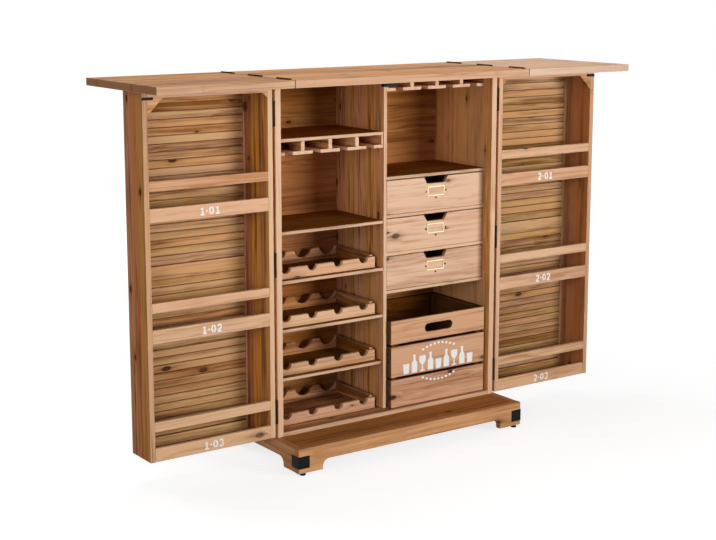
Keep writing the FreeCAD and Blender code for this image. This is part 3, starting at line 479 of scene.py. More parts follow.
def boards_between(low, high, **facts):
    """Rounded boards that fill boxes given by their low and high corners; the longest side is the grain."""
    low, high = np.atleast_2d(low), np.atleast_2d(high)
    order = np.argsort(low - high, axis=1, kind="stable")
    axes = np.eye(3)[order]
    axes[:, 2] = np.cross(axes[:, 0], axes[:, 1])
    return rounded_boards((low + high) / 2, np.take_along_axis(high - low, order, axis=1) / 2, axes, **facts)


WALL, GLUED, DOOR, DECK = 0.055, 0.080, 0.036, 0.095
# The plank tones differ at random, and the last two planks, at the top, are darker as painted shade under the
# top and the shelves.
PLANK_TONES_AND_SHADE = np.array([0.10, -0.20, 0.25, 0.0, -0.30, 0.15, -0.35, 0.20, 0.35])
sides = ("left", "right")
board_nodes = (
    (fir_inside, WALL, 0.0, "left_side_panel right_side_panel centre_divider"),
    (fir_inside, GLUED, 0.35, "bottom_panel"),
    (fir_back_shade, WHOLE, PLANK_TONES_AND_SHADE, "back_planks"),
    (fir_shelf_shade, GLUED, 0.0, "wine_shelves middle_left_shelf upper_left_shelf cubby_shelf drawer_bay_floor"),
    (fir_inside, GLUED, 0.0, "drawer_dividers"),
    (fir_inside, WHOLE, 0.0, "left_glass_rails right_glass_rails"),
    (fir_deck, DECK, 0.0, "plinth_deck"),
    # The crate's floor and posts take the dark wood that paints the shade inside the crate.
    (fir_crate_shade, GLUED, 0.0, "crate_floor"),
    (fir_crate_shade, WHOLE, 0.3, "crate_posts"),
    (fir_inside, WHOLE, 0.0, "drawer_1_box drawer_2_box drawer_3_box"),
    (fir_shelf_shade, WHOLE, 0.0, "left_door_shelves right_door_shelves"),
    (fir_rail, WHOLE, 0.05, "left_door_rails right_door_rails"),
)
made = 0
for finish, stave, tone, nodes in board_nodes:
    for node in nodes.split():
        low, high = box_corners(node)
        stand_in(node, "boards", boards_between(low, high, tone=tone, stave=stave), finish)
        made += len(low)
print("plain boards:", made)

# %% [markdown]
# ## Doors
# A door is a shallow box, and the board at its hinges is given the palest wood, which is painted light
# where little light reaches that board. Its outer face is a frame filled with thin slats that slope down
# towards the outside. The frame's stiles are in the door's reddish wood and its cross rails are honey like
# the slats, so they are two pieces; the stiles' darker wood also paints the shade that the door's side walls
# cast on them. A slat's place comes from its node; its section and slope are set here, half a millimetre
# fuller than the node's, and its tone differs from slat to slat.

# %% Door frames, louvre frames and slats
HINGE_REACH = 0.5
DOOR_TONES = {"left": -0.05, "right": -0.2}
RAIL_TONE, SLAT_TONE, SLAT_SPREAD = 0.1, 0.02, 0.21
SLOPE, SLAT_EASE = np.radians(72), 1.6 * MM
SLAT_HALF = np.array([13.9, 3.0]) * MM
slope_axes = np.array([[1, 0, 0], [0, np.cos(SLOPE), -np.sin(SLOPE)], [0, np.sin(SLOPE), np.cos(SLOPE)]])
for side in sides:
    node = f"{side}_door_frame"
    low, high = box_corners(node)
    at_hinge = np.abs(low + high)[:, 0] / 2 < HINGE_REACH
    box = boards_between(low[~at_hinge], high[~at_hinge], tone=DOOR_TONES[side], stave=DOOR)
    stand_in(node, "boards", box, fir_door)
    # The hinge board's paler wood is painted light.
    stand_beside(node, "hinge_board", boards_between(low[at_hinge], high[at_hinge], stave=DOOR), fir_hinge_lit)
    node = f"{side}_door_louvre_frame"
    low, high = box_corners(node)
    upright = (high - low)[:, 2] > (high - low)[:, 0]
    stand_in(node, "rails", boards_between(low[~upright], high[~upright], tone=RAIL_TONE), fir_slat)
    # The stiles' reddish wood is partly painted shade from the door's side walls.
    stand_beside(node, "stiles", boards_between(low[upright], high[upright]), fir_door)
    node = f"{side}_door_louvre_slats"
    low, high = box_corners(node)
    count = len(low)
    half = np.column_stack([(high - low)[:, 0] / 2, np.tile(SLAT_HALF, (count, 1))])
    slats = rounded_boards((low + high) / 2, half, np.tile(slope_axes, (count, 1, 1)),
                           tone=rng.normal(SLAT_TONE, SLAT_SPREAD, count), ease=SLAT_EASE)
    stand_in(node, "boards", slats, fir_slat)
    print(side, "door:", count, "slats,", round(float((high - low)[0, 2]) / MM, 1), "mm high")

# %% [markdown]
# ## Pieces with a drawn outline
# Aprons, bottle rails, drawer fronts and gussets are flat boards with a shaped outline, as a jigsaw cuts
# them. The outline is a closed line of points. Carried through the thickness and drawn in a little at
# both faces, it makes the board. The same carrying makes turned pieces and frames.

# %% Outlines carried through a thickness
FACING = {
    "front": np.array([[1, 0, 0], [0, 0, 1], [0, -1, 0]], float),
    "side": np.array([[0, 1, 0], [0, 0, 1], [1, 0, 0]], float),
    "top": np.array([[1, 0, 0], [0, 1, 0], [0, 0, 1]], float),
}
LEAST_SPREAD = 0.35


def carried(rings, depths, facing, bands, ends=0.0, order=(0, 1, 2), tone=0.0, stave=WHOLE, closed=False):
    """Ring i, a closed line of points, lies at depth i along the facing. bands says how narrow each strip
    between two rings is. A closed piece joins its last ring to its first; another gets two end faces."""
    count, strips = len(rings[0]), len(rings) - (not closed)
    local = np.column_stack([np.concatenate(rings), np.repeat(depths, count)])
    faces = [ring_faces(len(rings), count, closed)] + ([] if closed else [end_faces(len(rings), count)])
    narrow = np.broadcast_to(np.reshape(bands, (strips, -1)), (strips, count)).ravel()
    narrow = narrow if closed else np.append(narrow, [ends, ends])
    middle = (local.max(axis=0) + local.min(axis=0)) / 2
    grain = (local - middle)[:, list(order)] + [rng.uniform(-LOG_REACH, LOG_REACH), 0, 0]
    return Shape(local @ FACING[facing], faces, grain, wood_facts(1, len(local), tone, stave), narrow)


def drawn_in(outline, by):
    """The outline moved inwards: each corner goes along the bisector of its two edges' normals."""
    ahead = np.roll(outline, -1, axis=0) - outline
    ahead = ahead / np.linalg.norm(ahead, axis=1, keepdims=True)
    outward = np.column_stack([ahead[:, 1], -ahead[:, 0]])
    before = np.roll(outward, 1, axis=0)
    spread = np.maximum(1 + (outward * before).sum(axis=1, keepdims=True), LEAST_SPREAD)
    return outline - by * (outward + before) / spread


def outlined_plate(outline, facing, low, high, ease=EASE, **facts):
    """A plate from depth low to depth high: the outline, drawn in by ease at its two faces."""
    inner = drawn_in(outline, ease)
    rings, depths = [inner, outline, outline, inner], [low, low + ease, high - ease, high]
    return carried(rings, depths, facing, [EASED, EDGE, EASED], **facts)


def arc(centre, radii, start, end, steps):
    """Points on an ellipse or circle from one angle to another, in degrees."""
    turn = np.radians(np.linspace(start, end, steps))
    return np.asarray(centre) + np.multiply(radii, np.column_stack([np.cos(turn), np.sin(turn)]))


print("facings:", list(FACING))

# %% [markdown]
# ## Plinth aprons
# The plinth stands on bracket feet: each apron has a low arch with rounded corners between its feet. The
# arch is part of the outline, so no cutting is needed.

# %% Aprons
FOOT, ARCH_RADIUS, ARCH_RISE, ARCH_STEPS = 82 * MM, 22 * MM, 29 * MM, 9


def apron_outline(start, end, foot_start, foot_end, low, high):
    """Counter-clockwise from the left foot: along the floor, up and over the arch, and back along the top."""
    centre = low + ARCH_RISE - ARCH_RADIUS
    left = arc((foot_start + ARCH_RADIUS, centre), ARCH_RADIUS, 180, 90, ARCH_STEPS)
    right = arc((foot_end - ARCH_RADIUS, centre), ARCH_RADIUS, 90, 0, ARCH_STEPS)
    after = [(foot_end, low), (end, low), (end, high), (start, high)]
    return np.vstack([[(start, low), (foot_start, low)], left, right, after])


low, high = corners("plinth_front_apron")
wide = apron_outline(low[0], high[0], low[0] + FOOT, high[0] - FOOT, low[2], high[2])
stand_in("plinth_front_apron", "board", outlined_plate(wide, "front", -high[1], -low[1], tone=0.0), fir_base)
rear_low, rear_high = corners("plinth_rear_aprons")
APRON = high[1] - low[1]
deep = apron_outline(high[1], rear_high[1] - APRON, low[1] + FOOT, rear_high[1] - FOOT, low[2], high[2])
rear_aprons = [
    outlined_plate(deep, "side", rear_low[0], rear_low[0] + APRON, tone=0.15),
    outlined_plate(deep, "side", rear_high[0] - APRON, rear_high[0], tone=0.15),
    outlined_plate(wide, "front", -rear_high[1], APRON - rear_high[1], tone=0.1),
]
stand_in("plinth_rear_aprons", "boards", joined(rear_aprons), fir_base)
print("aprons: 4, arch", round((high[0] - low[0] - 2 * FOOT) / MM), "mm wide")

# %% [markdown]
# ## Bottle racks
# Each rack is a tray of four rails. Bottle necks lie in round notches of the front rail, and the bottles
# in wider scallops of the rear rail. Both are arcs in a rail's top line. The front rail is of paler wood
# than the other three, whose darker tones are painted shade, so it is a piece of its own.

# %% Racks
RACK_BOARD, BOTTLE_PITCH, THIN_EASE = 12 * MM, 91 * MM, 0.8 * MM
FRONT_RISE, REAR_RISE, CUT_STEPS = 32 * MM, 37 * MM, 17
NECK_RADIUS, BOTTLE_RADIUS, BOTTLE_SEAT = 16 * MM, 32 * MM, 13 * MM
# The side and rear rails' darker tones are painted shade.
FRONT_RAIL_TONES, REAR_RAIL_SHADE, SIDE_RAIL_SHADE = {1: 0.40, 2: 0.20, 3: 0.05, 4: 0.0}, 0.2, 0.7


def rail_outline(start, end, low, rise, radius, centre_rise):
    """A rail with four round cuts: along the bottom, then back along the top and down round each cut."""
    reach = np.degrees(np.arcsin((rise - centre_rise) / radius))
    middle = (start + end) / 2
    cuts = [arc((middle + BOTTLE_PITCH * step, low + centre_rise), radius, reach, -180 - reach, CUT_STEPS)
            for step in (1.5, 0.5, -0.5, -1.5)]
    return np.vstack([[(start, low), (end, low), (end, low + rise)], *cuts, [(start, low + rise)]])


for number in (1, 2, 3, 4):
    node = f"bottle_rack_{number}"
    low, high = corners(node)
    necks = rail_outline(low[0], high[0], low[2], FRONT_RISE, NECK_RADIUS, FRONT_RISE)
    scallops = rail_outline(low[0], high[0], low[2], REAR_RISE, BOTTLE_RADIUS, BOTTLE_SEAT + BOTTLE_RADIUS)
    left_low, right_high = low + [0, RACK_BOARD, 0], high - [0, RACK_BOARD, 0]
    aside = [high[0] - low[0] - RACK_BOARD, 0, 0]
    front = outlined_plate(necks, "front", -low[1] - RACK_BOARD, -low[1],
                           tone=FRONT_RAIL_TONES[number], ease=THIN_EASE)
    stand_in(node, "front_rail", front, fir_rail)
    rear = outlined_plate(scallops, "front", -high[1], RACK_BOARD - high[1],
                          tone=REAR_RAIL_SHADE, ease=THIN_EASE)
    side_rails = boards_between([left_low, left_low + aside], [right_high - aside, right_high],
                                tone=SIDE_RAIL_SHADE)
    stand_beside(node, "other_rails", joined([rear, side_rails]), fir_inside)
print("racks: 4, necks", 2 * NECK_RADIUS / MM, "mm wide")

# %% [markdown]
# ## Drawer fronts
# A finger pull is cut into the top edge of each front: a flat floor with sloping, rounded ends. It is
# drawn into the front's outline.

# %% Fronts
PULL_HALF, PULL_FLOOR_HALF, PULL_DEPTH, PULL_ROUND = 45.5 * MM, 35 * MM, 20 * MM, 5 * MM
PULL_SLOPE, PULL_STEPS, FRONT_EASE = 28, 5, 0.9 * MM
FRONT_TONES = {1: -0.22, 2: -0.12, 3: -0.06}
for number in (1, 2, 3):
    node = f"drawer_{number}_front"
    low, high = corners(node)
    middle, bend = (low[0] + high[0]) / 2, high[2] - PULL_DEPTH + PULL_ROUND
    bend_away = PULL_FLOOR_HALF - PULL_ROUND
    outline = np.vstack([
        [(low[0], low[2]), (high[0], low[2]), (high[0], high[2]), (middle + PULL_HALF, high[2])],
        arc((middle + bend_away, bend), PULL_ROUND, -PULL_SLOPE, -90, PULL_STEPS),
        arc((middle - bend_away, bend), PULL_ROUND, -90, PULL_SLOPE - 180, PULL_STEPS),
        [(middle - PULL_HALF, high[2]), (low[0], high[2])],
    ])
    board = outlined_plate(outline, "front", -high[1], -low[1], tone=FRONT_TONES[number], ease=FRONT_EASE)
    stand_in(node, "board", board, fir_front)
print("drawer fronts: 3, pull", 2 * PULL_HALF / MM, "mm wide")

# %% [markdown]
# ## Gussets
# Each door has a triangular block in both upper corners, a large one at its free side and a small one at
# its hinges. Every triangle starts from its upper corner in the node's box.

# %% Gusset blocks
# The gussets' darker tone is painted shade under the top's overhang.
FREE_LEG, HINGE_LEG, GUSSET_SHADE = 46 * MM, 16 * MM, 0.3
for side in sides:
    node = f"{side}_door_gussets"
    low, high = corners(node)
    left_leg, right_leg = (FREE_LEG, HINGE_LEG) if side == "left" else (HINGE_LEG, FREE_LEG)
    triangles = [
        np.array([(low[0], high[2]), (low[0], high[2] - left_leg), (low[0] + left_leg, high[2])]),
        np.array([(high[0], high[2]), (high[0] - right_leg, high[2]), (high[0], high[2] - right_leg)]),
    ]
    blocks = [outlined_plate(triangle, "front", -high[1], -low[1], tone=GUSSET_SHADE, ease=THIN_EASE)
              for triangle in triangles]
    stand_in(node, "blocks", joined(blocks), fir_base)
print("gussets: 4, legs", FREE_LEG / MM, "and", HINGE_LEG / MM, "mm")

# %% [markdown]
# ## The crate's slats
# The crate is nailed up from slats with gaps between them: pale ones in front, and ones behind and at the
# sides in a dark wood that paints the shade inside the crate, as do its floor and posts and the dark edges
# of the front slats. The top front slat has a long round-ended hand slot. A Boolean could cut it; here the
# plate is a ring whose section goes round the outer edge, over the front face, through the slot and back
# behind.

# %% Crate slats
SLOT_REACH, SLOT_RADIUS, SLOT_DROP = 40 * MM, 13 * MM, 37 * MM
ROUND_STEPS, STRAIGHT_STEPS = 13, 7
PALE_TONE, HANDLE_TONE = -0.06, -0.05
lows, highs = box_corners("crate_slats")
in_front = lows[:, 1] < lows[:, 1].min() + MM
pale = boards_between(lows[in_front], highs[in_front], tone=PALE_TONE)
stand_in("crate_slats", "front_boards", pale, fir_crate)
stand_beside("crate_slats", "shaded_boards", boards_between(lows[~in_front], highs[~in_front]), fir_crate_shade)


def ringed_plate(outer, inner, facing, low, high, ease=EASE, **facts):
    """A plate with a window: eight rings, up the outer edge, over the front, down the window and back."""
    outer_in, inner_out = drawn_in(outer, ease), drawn_in(inner, -ease)
    rings = [outer, outer, outer_in, inner_out, inner, inner, inner_out, outer_in]
    depths = [low + ease, high - ease, high, high, high - ease, low + ease, low, low]
    return carried(rings, depths, facing, [EDGE, EASED, FACE, EASED] * 2, closed=True, **facts)


def rectangle_round(window, centre, half):
    """Points on a rectangle, each straight out from its partner on the window, with the four corners kept."""
    away = window - centre
    outer = centre + away * np.min(half / np.maximum(np.abs(away), 1e-9), axis=1, keepdims=True)
    for corner in centre + half * CORNER_SIDES:
        outer[np.argmin(np.linalg.norm(outer - corner, axis=1))] = corner
    return outer


low, high = corners("crate_handle_slat")
slat_centre, slat_half = ((high + low) / 2)[[0, 2]], ((high - low) / 2)[[0, 2]]
slot_centre = np.array([slat_centre[0], high[2] - SLOT_DROP])
slot_run = np.linspace(SLOT_REACH, -SLOT_REACH, STRAIGHT_STEPS + 2)[1:-1]
half_slot = np.vstack([
    arc((SLOT_REACH, 0), SLOT_RADIUS, -90, 90, ROUND_STEPS),
    np.column_stack([slot_run, np.full(STRAIGHT_STEPS, SLOT_RADIUS)]),
])
slot = np.vstack([half_slot, -half_slot]) + slot_centre
around_slot = rectangle_round(slot, slat_centre, slat_half)
handle = ringed_plate(around_slot, slot, "front", -high[1], -low[1], tone=HANDLE_TONE)
stand_in("crate_handle_slat", "board", handle, fir_crate)
print("crate slats:", len(lows), "and the handle slat of", len(handle.points), "points")

# %% [markdown]
# ## The top and its leaves
# The three top boards meet at two seams, and the hinge barrels lie in round mortises along them. The
# board's section is carried from back to front. At a mortise its upper corner turns from a small
# rounding into a hollow quarter circle, with two rings at the same place where the mortise ends.

# %% Top boards
HINGE_PLACES = np.array([-152, 0, 152]) * MM
MORTISE_REACH, MORTISE_RADIUS = 35.5 * MM, 4 * MM
SEAM_AWAY, AXIS_ABOVE, TOP_STAVE = 1 * MM, 0.5 * MM, 88 * MM
END_DRAW = np.array([0.65, 0.25, 0.0])
LOWER_STEPS, HOLLOW_STEPS = 3, 7
UNDERSIDE, RIGHT_EDGE, TOP_FACE = 2, 5, 5 + HOLLOW_STEPS


def upper_corner(edge, top, hollow):
    """A section's upper right corner, from its edge to its top: rounded, or hollow for a hinge barrel."""
    if not hollow:
        return arc((edge - EASE, top - EASE), EASE, 0, 90, HOLLOW_STEPS)
    turn = 180 + np.degrees(np.arccos(SEAM_AWAY / MORTISE_RADIUS))
    dip = 180 + np.degrees(np.arcsin(AXIS_ABOVE / MORTISE_RADIUS))
    return arc((edge + SEAM_AWAY, top + AXIS_ABOVE), MORTISE_RADIUS, turn, dip, HOLLOW_STEPS)


def top_section(low, high, hollows):
    """The section in x and z, counter-clockwise from the lower left. hollows says whether the upper left and
    the upper right corner are hollow; the left one is a right one's mirror image."""
    below = low[2] + EASE
    return np.vstack([
        arc((low[0] + EASE, below), EASE, 180, 270, LOWER_STEPS),
        arc((high[0] - EASE, below), EASE, 270, 360, LOWER_STEPS),
        upper_corner(high[0], high[2], hollows[1]),
        (upper_corner(-low[0], high[2], hollows[0]) * [-1, 1])[::-1],
    ])


def top_board(node, hollows, tone):
    """Rings of the section from back to front: eased ends, and a pair of rings at both ends of a mortise."""
    low, high = corners(node)
    plain, hollow = top_section(low, high, (False, False)), top_section(low, high, hollows)
    middle, half = ((low + high) / 2)[[0, 2]], ((high - low) / 2)[[0, 2]]
    eased = [middle + (plain - middle) * (1 - draw * EASE / half) for draw in END_DRAW]
    rings = eased + [plain, hollow, hollow, plain] * len(HINGE_PLACES) + eased[::-1]
    mortises = (HINGE_PLACES[:, None] + MORTISE_REACH * np.array([-1, -1, 1, 1])).ravel()
    depths = np.concatenate([-high[1] + EASE * END_PLACES, mortises, (-low[1] - EASE * END_PLACES)[::-1]])
    bands = np.full((len(rings) - 1, len(plain)), EDGE)
    between_ends = bands[2:-2]
    between_ends[:, [UNDERSIDE, TOP_FACE]] = FACE
    between_ends[:, [RIGHT_EDGE, -1]] = END_GRAIN
    between_ends[:, RIGHT_EDGE + 1:TOP_FACE] = SEAM if hollows[1] else END_GRAIN
    between_ends[:, TOP_FACE + 1:-1] = SEAM if hollows[0] else END_GRAIN
    return carried(rings, depths, "front", bands, EDGE, (0, 2, 1), tone, TOP_STAVE)


# The right leaf's paler wood and the left leaf's darker tone are partly their own tones and partly a painted
# sheen towards the right of the top.
tops = {
    "centre_top": ((True, True), 0.0, fir_top), "left_leaf": ((False, True), 0.15, fir_top),
    "right_leaf": ((True, False), 0.0, fir_pale_sheen_top),
}
for node, (hollows, tone, finish) in tops.items():
    shape = top_board(node, hollows, tone)
    stand_in(node, "board", shape, finish)
    print(node, len(shape.points), "points")

# %% [markdown]
# ## Steel, brass, plastic and paint
# The fittings are small, so their finishes stay simple: a colour that varies a little, a roughness that
# varies with it, and a slight relief. One group makes that unevenness for all of them from noise. The
# hinges are of browned steel, and the plinth's guards are black.

# %% Fitting materials
uneven, given, result = new_group(
    "Uneven finish",
    {"Colour": "colour", "Scale": "value", "Shift": "value", "Roughness": "value"},
    {"Colour": "colour", "Roughness": "value", "Height": "value"},
)
speck_at = make(uneven, "TexCoord", output="Object")
speck = make(uneven, "TexNoise", {"Vector": speck_at, "Scale": given["Scale"], "Detail": 3.0})
swing = sums(uneven, "MULTIPLY", sums(uneven, "SUBTRACT", speck, 0.5), given["Shift"])
tint = {"Value": sums(uneven, "ADD", 1.0, swing), "Color": given["Colour"]}
plug(uneven, make(uneven, "HueSaturation", tint), result["Colour"])
plug(uneven, sums(uneven, "MULTIPLY_ADD", swing, 0.25, given["Roughness"]), result["Roughness"])
plug(uneven, speck, result["Height"])


def fitting(name, colour, metallic, specular, roughness, scale, shift, relief):
    """A plain finish with a little unevenness."""
    inputs = {"Colour": (*colour, 1.0), "Scale": scale, "Shift": shift, "Roughness": roughness}
    shine = {"Metallic": metallic, "Specular IOR Level": specular}
    return group_finish(name, uneven, inputs, relief, 0.3 * MM, shine)[0]


# Each row: colour, metallic, specular, roughness, fineness of the specks, their strength, relief.
black_steel = fitting("black_steel", (0.0080, 0.0078, 0.0080), 0.0, 0.07, 0.45, 260.0, 0.5, 0.15)
browned_steel = fitting("browned_steel", (0.060, 0.025, 0.010), 0.0, 0.0, 0.50, 260.0, 0.5, 0.15)
pin_steel = fitting("pin_steel", (0.010, 0.009, 0.008), 0.0, 0.25, 0.50, 300.0, 0.3, 0.1)
black_plastic = fitting("black_plastic", (0.012, 0.012, 0.012), 0.0, 0.10, 0.55, 400.0, 0.3, 0.2)
brass = fitting("brass", (0.56, 0.42, 0.24), 0.60, 0.3, 0.45, 180.0, 0.25, 0.1)
stencil_paint = fitting("stencil_paint", (0.86, 0.85, 0.83), 0.0, 0.4, 0.65, 500.0, 0.2, 0.3)
hinge_nodes = ["door_hinge_fixed_leaves", "leaf_hinge_fixed_leaves"]
hinge_nodes += [f"{side}_{part}_hinge_leaves" for side in sides for part in ("door", "leaf")]
for node, finish in [(node, browned_steel) for node in hinge_nodes] + [("hinge_pins", pin_steel)]:
    frame["nodes"][node].data.materials.clear()
    frame["nodes"][node].data.materials.append(finish)
print("fitting finishes: 6; as built:", len(hinge_nodes), "hinge nodes and the pins")

# %% [markdown]
# ## Corner guards and glides
# Two bent steel angles wrap the front corners of the plinth, and four turned plastic glides carry it. The
# angle is an L-shaped outline carried upwards; a glide is a circle that widens and narrows on its way up.

# %% Guards and glides
def turned(profile, centre, facing, steps=24):
    """A turned piece: each row of the profile gives a circle's radius and its height above the centre."""
    circle = arc((0, 0), 1, 0, 360 - 360 / steps, steps)
    across_axis = np.array(centre) @ FACING[facing].T
    rings = [radius * circle + across_axis[:2] for radius, _ in profile]
    return carried(rings, across_axis[2] + np.array(profile)[:, 1], facing, np.zeros(len(profile) - 1))


GUARD_LEG, GUARD_ROUND, GUARD_EASE = 36 * MM, 1 * MM, 0.35 * MM
low, high = corners("plinth_corner_guards")
apron_low, apron_high = corners("plinth_front_apron")
SHEET = apron_low[1] - low[1]
out_x, out_y, in_x, in_y = high[0], low[1], apron_high[0], apron_low[1]
right_angle = np.array([
    (in_x - GUARD_LEG, out_y), (out_x - GUARD_ROUND, out_y), (out_x, out_y + GUARD_ROUND),
    (out_x, in_y + GUARD_LEG), (in_x, in_y + GUARD_LEG), (in_x, in_y), (in_x - GUARD_LEG, in_y),
])
angles = ((right_angle * [-1, 1])[::-1], right_angle)
guards = [outlined_plate(angle, "top", low[2], high[2], ease=GUARD_EASE) for angle in angles]
stand_in("plinth_corner_guards", "angles", joined(guards), black_steel)

GLIDE_RADIUS = 9 * MM
GLIDE_PROFILE = np.array([(6.5, 0), (8.2, 0.6), (9, 2), (9, 5), (7, 5.6), (7, 8)]) * MM
low, high = corners("foot_glides")
spots = [(x, y, low[2]) for x in (low[0] + GLIDE_RADIUS, high[0] - GLIDE_RADIUS)
         for y in (low[1] + GLIDE_RADIUS, high[1] - GLIDE_RADIUS)]
stand_in("foot_glides", "pads", joined([turned(GLIDE_PROFILE, spot, "top") for spot in spots]), black_plastic)
print("guards: 2 of", round(SHEET / MM, 1), "mm sheet; glides:", len(spots))

# %% [markdown]
# ## Strikes and catch
# A magnetic catch under the top holds the doors shut by a strike plate at the free corner of each. The
# plates are thin sheets, and the catch is a housing with two magnet bars that stand a little proud.

# %% Strikes and catch
STRIKE_EASE, CATCH_EASE = 0.5 * MM, 0.6 * MM
PROUD, BAR_END, BAR_RISE, BAR_DEEP, BAR_EDGE = 1.5 * MM, 4 * MM, 5 * MM, 6 * MM, 3 * MM
for side in sides:
    node = f"{side}_door_strike_plate"
    stand_in(node, "sheet", boards_between(*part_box(node), ease=STRIKE_EASE), black_steel)
low, high = corners("magnet_catch")
bar_lows = [low + [BAR_END, 0, rise] for rise in (BAR_EDGE, high[2] - low[2] - BAR_EDGE - BAR_RISE)]
bar_size = np.array([high[0] - low[0] - 2 * BAR_END, BAR_DEEP, BAR_RISE])
lows = [low + [0, PROUD, 0], *bar_lows]
highs = [high, *(bar + bar_size for bar in bar_lows)]
stand_in("magnet_catch", "block", boards_between(lows, highs, ease=CATCH_EASE), black_plastic)
print("strikes: 2, catch", np.round((high - low) / MM, 1).tolist(), "mm")

# %% [markdown]
# ## Label holders
# Each drawer has an empty stamped brass frame with a rolled rim, three ears and dark pins. The rim is a
# surface of two parameters: once round the frame, and across it from the outer edge to the window.

# %% Label holders
LABEL, WINDOW, EAR = np.array([33, 16]) * MM, np.array([28.4, 11.2]) * MM, 8 * MM
LABEL_ROUND, WINDOW_ROUND = 2.5 * MM, 1.0 * MM
EAR_SHEET, EAR_EASE, PIN_STEPS = 0.6 * MM, 0.2 * MM, 14
RIM_ACROSS = np.array([0.0, 0.0, 0.12, 0.35, 0.65, 0.88, 1.0, 1.0])
RIM_HEIGHT = np.array([0.0, 0.7, 1.1, 1.45, 1.45, 1.1, 0.8, 0.0]) * MM
PIN_PROFILE = np.array([(3.4, 0.0), (3.4, 0.25), (2.8, 0.65), (1.6, 0.85), (0.6, 0.9)]) * MM


def rounded_corners(half, radius):
    """A rectangle's outline with rounded corners, counter-clockwise."""
    quarters = zip(CORNER_SIDES, (0, 90, 180, 270))
    return np.vstack([arc(side * (half - radius), radius, start, start + 90, 5) for side, start in quarters])


def brass_rim(centre, face):
    """Ring i is the outer outline plus RIM_ACROSS[i] times (window less outer), raised by RIM_HEIGHT[i]."""
    outer = rounded_corners(LABEL, LABEL_ROUND) + centre
    window = rounded_corners(WINDOW, WINDOW_ROUND) + centre
    rings = [outer + share * (window - outer) for share in RIM_ACROSS]
    return carried(rings, RIM_HEIGHT - face, "front", np.zeros(len(rings)), closed=True)


def ear(spot, outward, face):
    """A half-round tab that starts under the frame's edge."""
    tab = np.vstack([arc((0, 0), EAR / 2, -90, 90, 9), [(-EAR / 2 - MM, EAR / 2), (-EAR / 2 - MM, -EAR / 2)]])
    turn = np.array([[outward[0], outward[1]], [-outward[1], outward[0]]])
    return outlined_plate(tab @ turn + spot, "front", -face, -face + EAR_SHEET, ease=EAR_EASE)


for number in (1, 2, 3):
    node = f"drawer_{number}_label_holder"
    low, high = corners(node)
    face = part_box(f"drawer_{number}_front")[0][1]
    centre = np.array([(low[0] + high[0]) / 2, high[2] - LABEL[1]])
    outwards = np.array([(-1, 0), (1, 0), (0, -1)])
    ear_spots = centre + outwards * (LABEL + EAR / 2)
    ears = [ear(spot, outward, face) for spot, outward in zip(ear_spots, outwards)]
    stand_in(node, "frame", joined([brass_rim(centre, face), *ears]), brass)
    pins = [turned(PIN_PROFILE, (x, face - EAR_SHEET, z), "front", PIN_STEPS) for x, z in ear_spots]
    add_piece(f"{node}_pins", joined(pins), pin_steel, body_of[node])
print("label holders: 3, window", (2 * WINDOW / MM).tolist(), "mm")

# %% [markdown]
# ## Stencilled numbers
# Plain white numbers are stencilled on the low rail of each door bay. A stroke is a ribbon: a line of
# points set out by half the stroke's width to each side. Gaps between strokes are the stencil's bridges.
# Blender's text object would be quicker, but its letters come from a font; these are drawn for a brush.

# %% Number strokes
PAINT = 0.15 * MM
DIGIT_HEIGHT, DIGIT_STEP, DOT_STEP, STROKE = 23 * MM, 18.5 * MM, 10 * MM, 0.21
DIGITS = {
    "0": [arc((0.3, 0.5), (0.23, 0.41), 102, 258, 13), arc((0.3, 0.5), (0.23, 0.41), -78, 78, 13)],
    "1": [[(0.12, 0.74), (0.33, 0.91), (0.33, 0.22)], [(0.08, 0.09), (0.58, 0.09)]],
    "2": [np.vstack([arc((0.3, 0.66), (0.22, 0.25), 165, -35, 13), [(0.12, 0.23)]]),
          [(0.06, 0.09), (0.56, 0.09)]],
    "3": [arc((0.28, 0.70), (0.22, 0.21), 160, -70, 13), arc((0.28, 0.30), (0.24, 0.21), 70, -160, 13)],
    ".": [[(0.0, 0.5), (0.2, 0.5)]],
}


def painted(outline, face):
    """A thin layer of paint over an outline on a front face."""
    return carried([outline, outline], [-face, -face + PAINT], "front", [0.0])


def ribbon(line, place, face):
    """A stroke's outline: the line moved half a width to its right, then back along its left."""
    line = np.asarray(line, float)
    ahead = np.gradient(line, axis=0)
    ahead = ahead / np.linalg.norm(ahead, axis=1, keepdims=True)
    aside = np.column_stack([ahead[:, 1], -ahead[:, 0]]) * STROKE / 2
    return painted(np.vstack([line + aside, (line - aside)[::-1]]) * DIGIT_HEIGHT + place, face)


def number_strokes(text, centre, face):
    """The strokes of a short number, set side by side about a centre."""
    steps = np.array([DOT_STEP if sign == "." else DIGIT_STEP for sign in text])
    starts = centre[0] - steps.sum() / 2 + np.cumsum(steps) - steps
    places = np.column_stack([starts, np.full(len(text), centre[1] - DIGIT_HEIGHT / 2)])
    return [ribbon(line, place, face) for sign, place in zip(text, places) for line in DIGITS[sign]]


print("strokes:", {sign: len(lines) for sign, lines in DIGITS.items()})

# %% [markdown]
# ## Numbers on the doors
# The two doors are counted 1 and 2, and each has bays 1 to 3 from the top, which is all the numbers say.

# %% Door numbers
for door, side in enumerate(sides, 1):
    lows, highs = box_corners(f"{side}_door_rails")
    low_rails = np.argsort(lows[:, 2])[::2][::-1]
    for bay, rail in enumerate(low_rails, 1):
        low, high = lows[rail], highs[rail]
        strokes = number_strokes(f"{door}.0{bay}", ((low + high) / 2)[[0, 2]], low[1])
        add_piece(f"{side}_door_number_{bay}", joined(strokes), stencil_paint, f"{side}_door")
print("numbers: 6,", DIGIT_HEIGHT / MM, "mm high")

# %% [markdown]
# ## The crate's stencil
# The crate carries a plain white stencil: a row of bottles and glasses under a bow of small diamonds, with
# a second bow on the slat below. Each figure is half an outline and its mirror image.

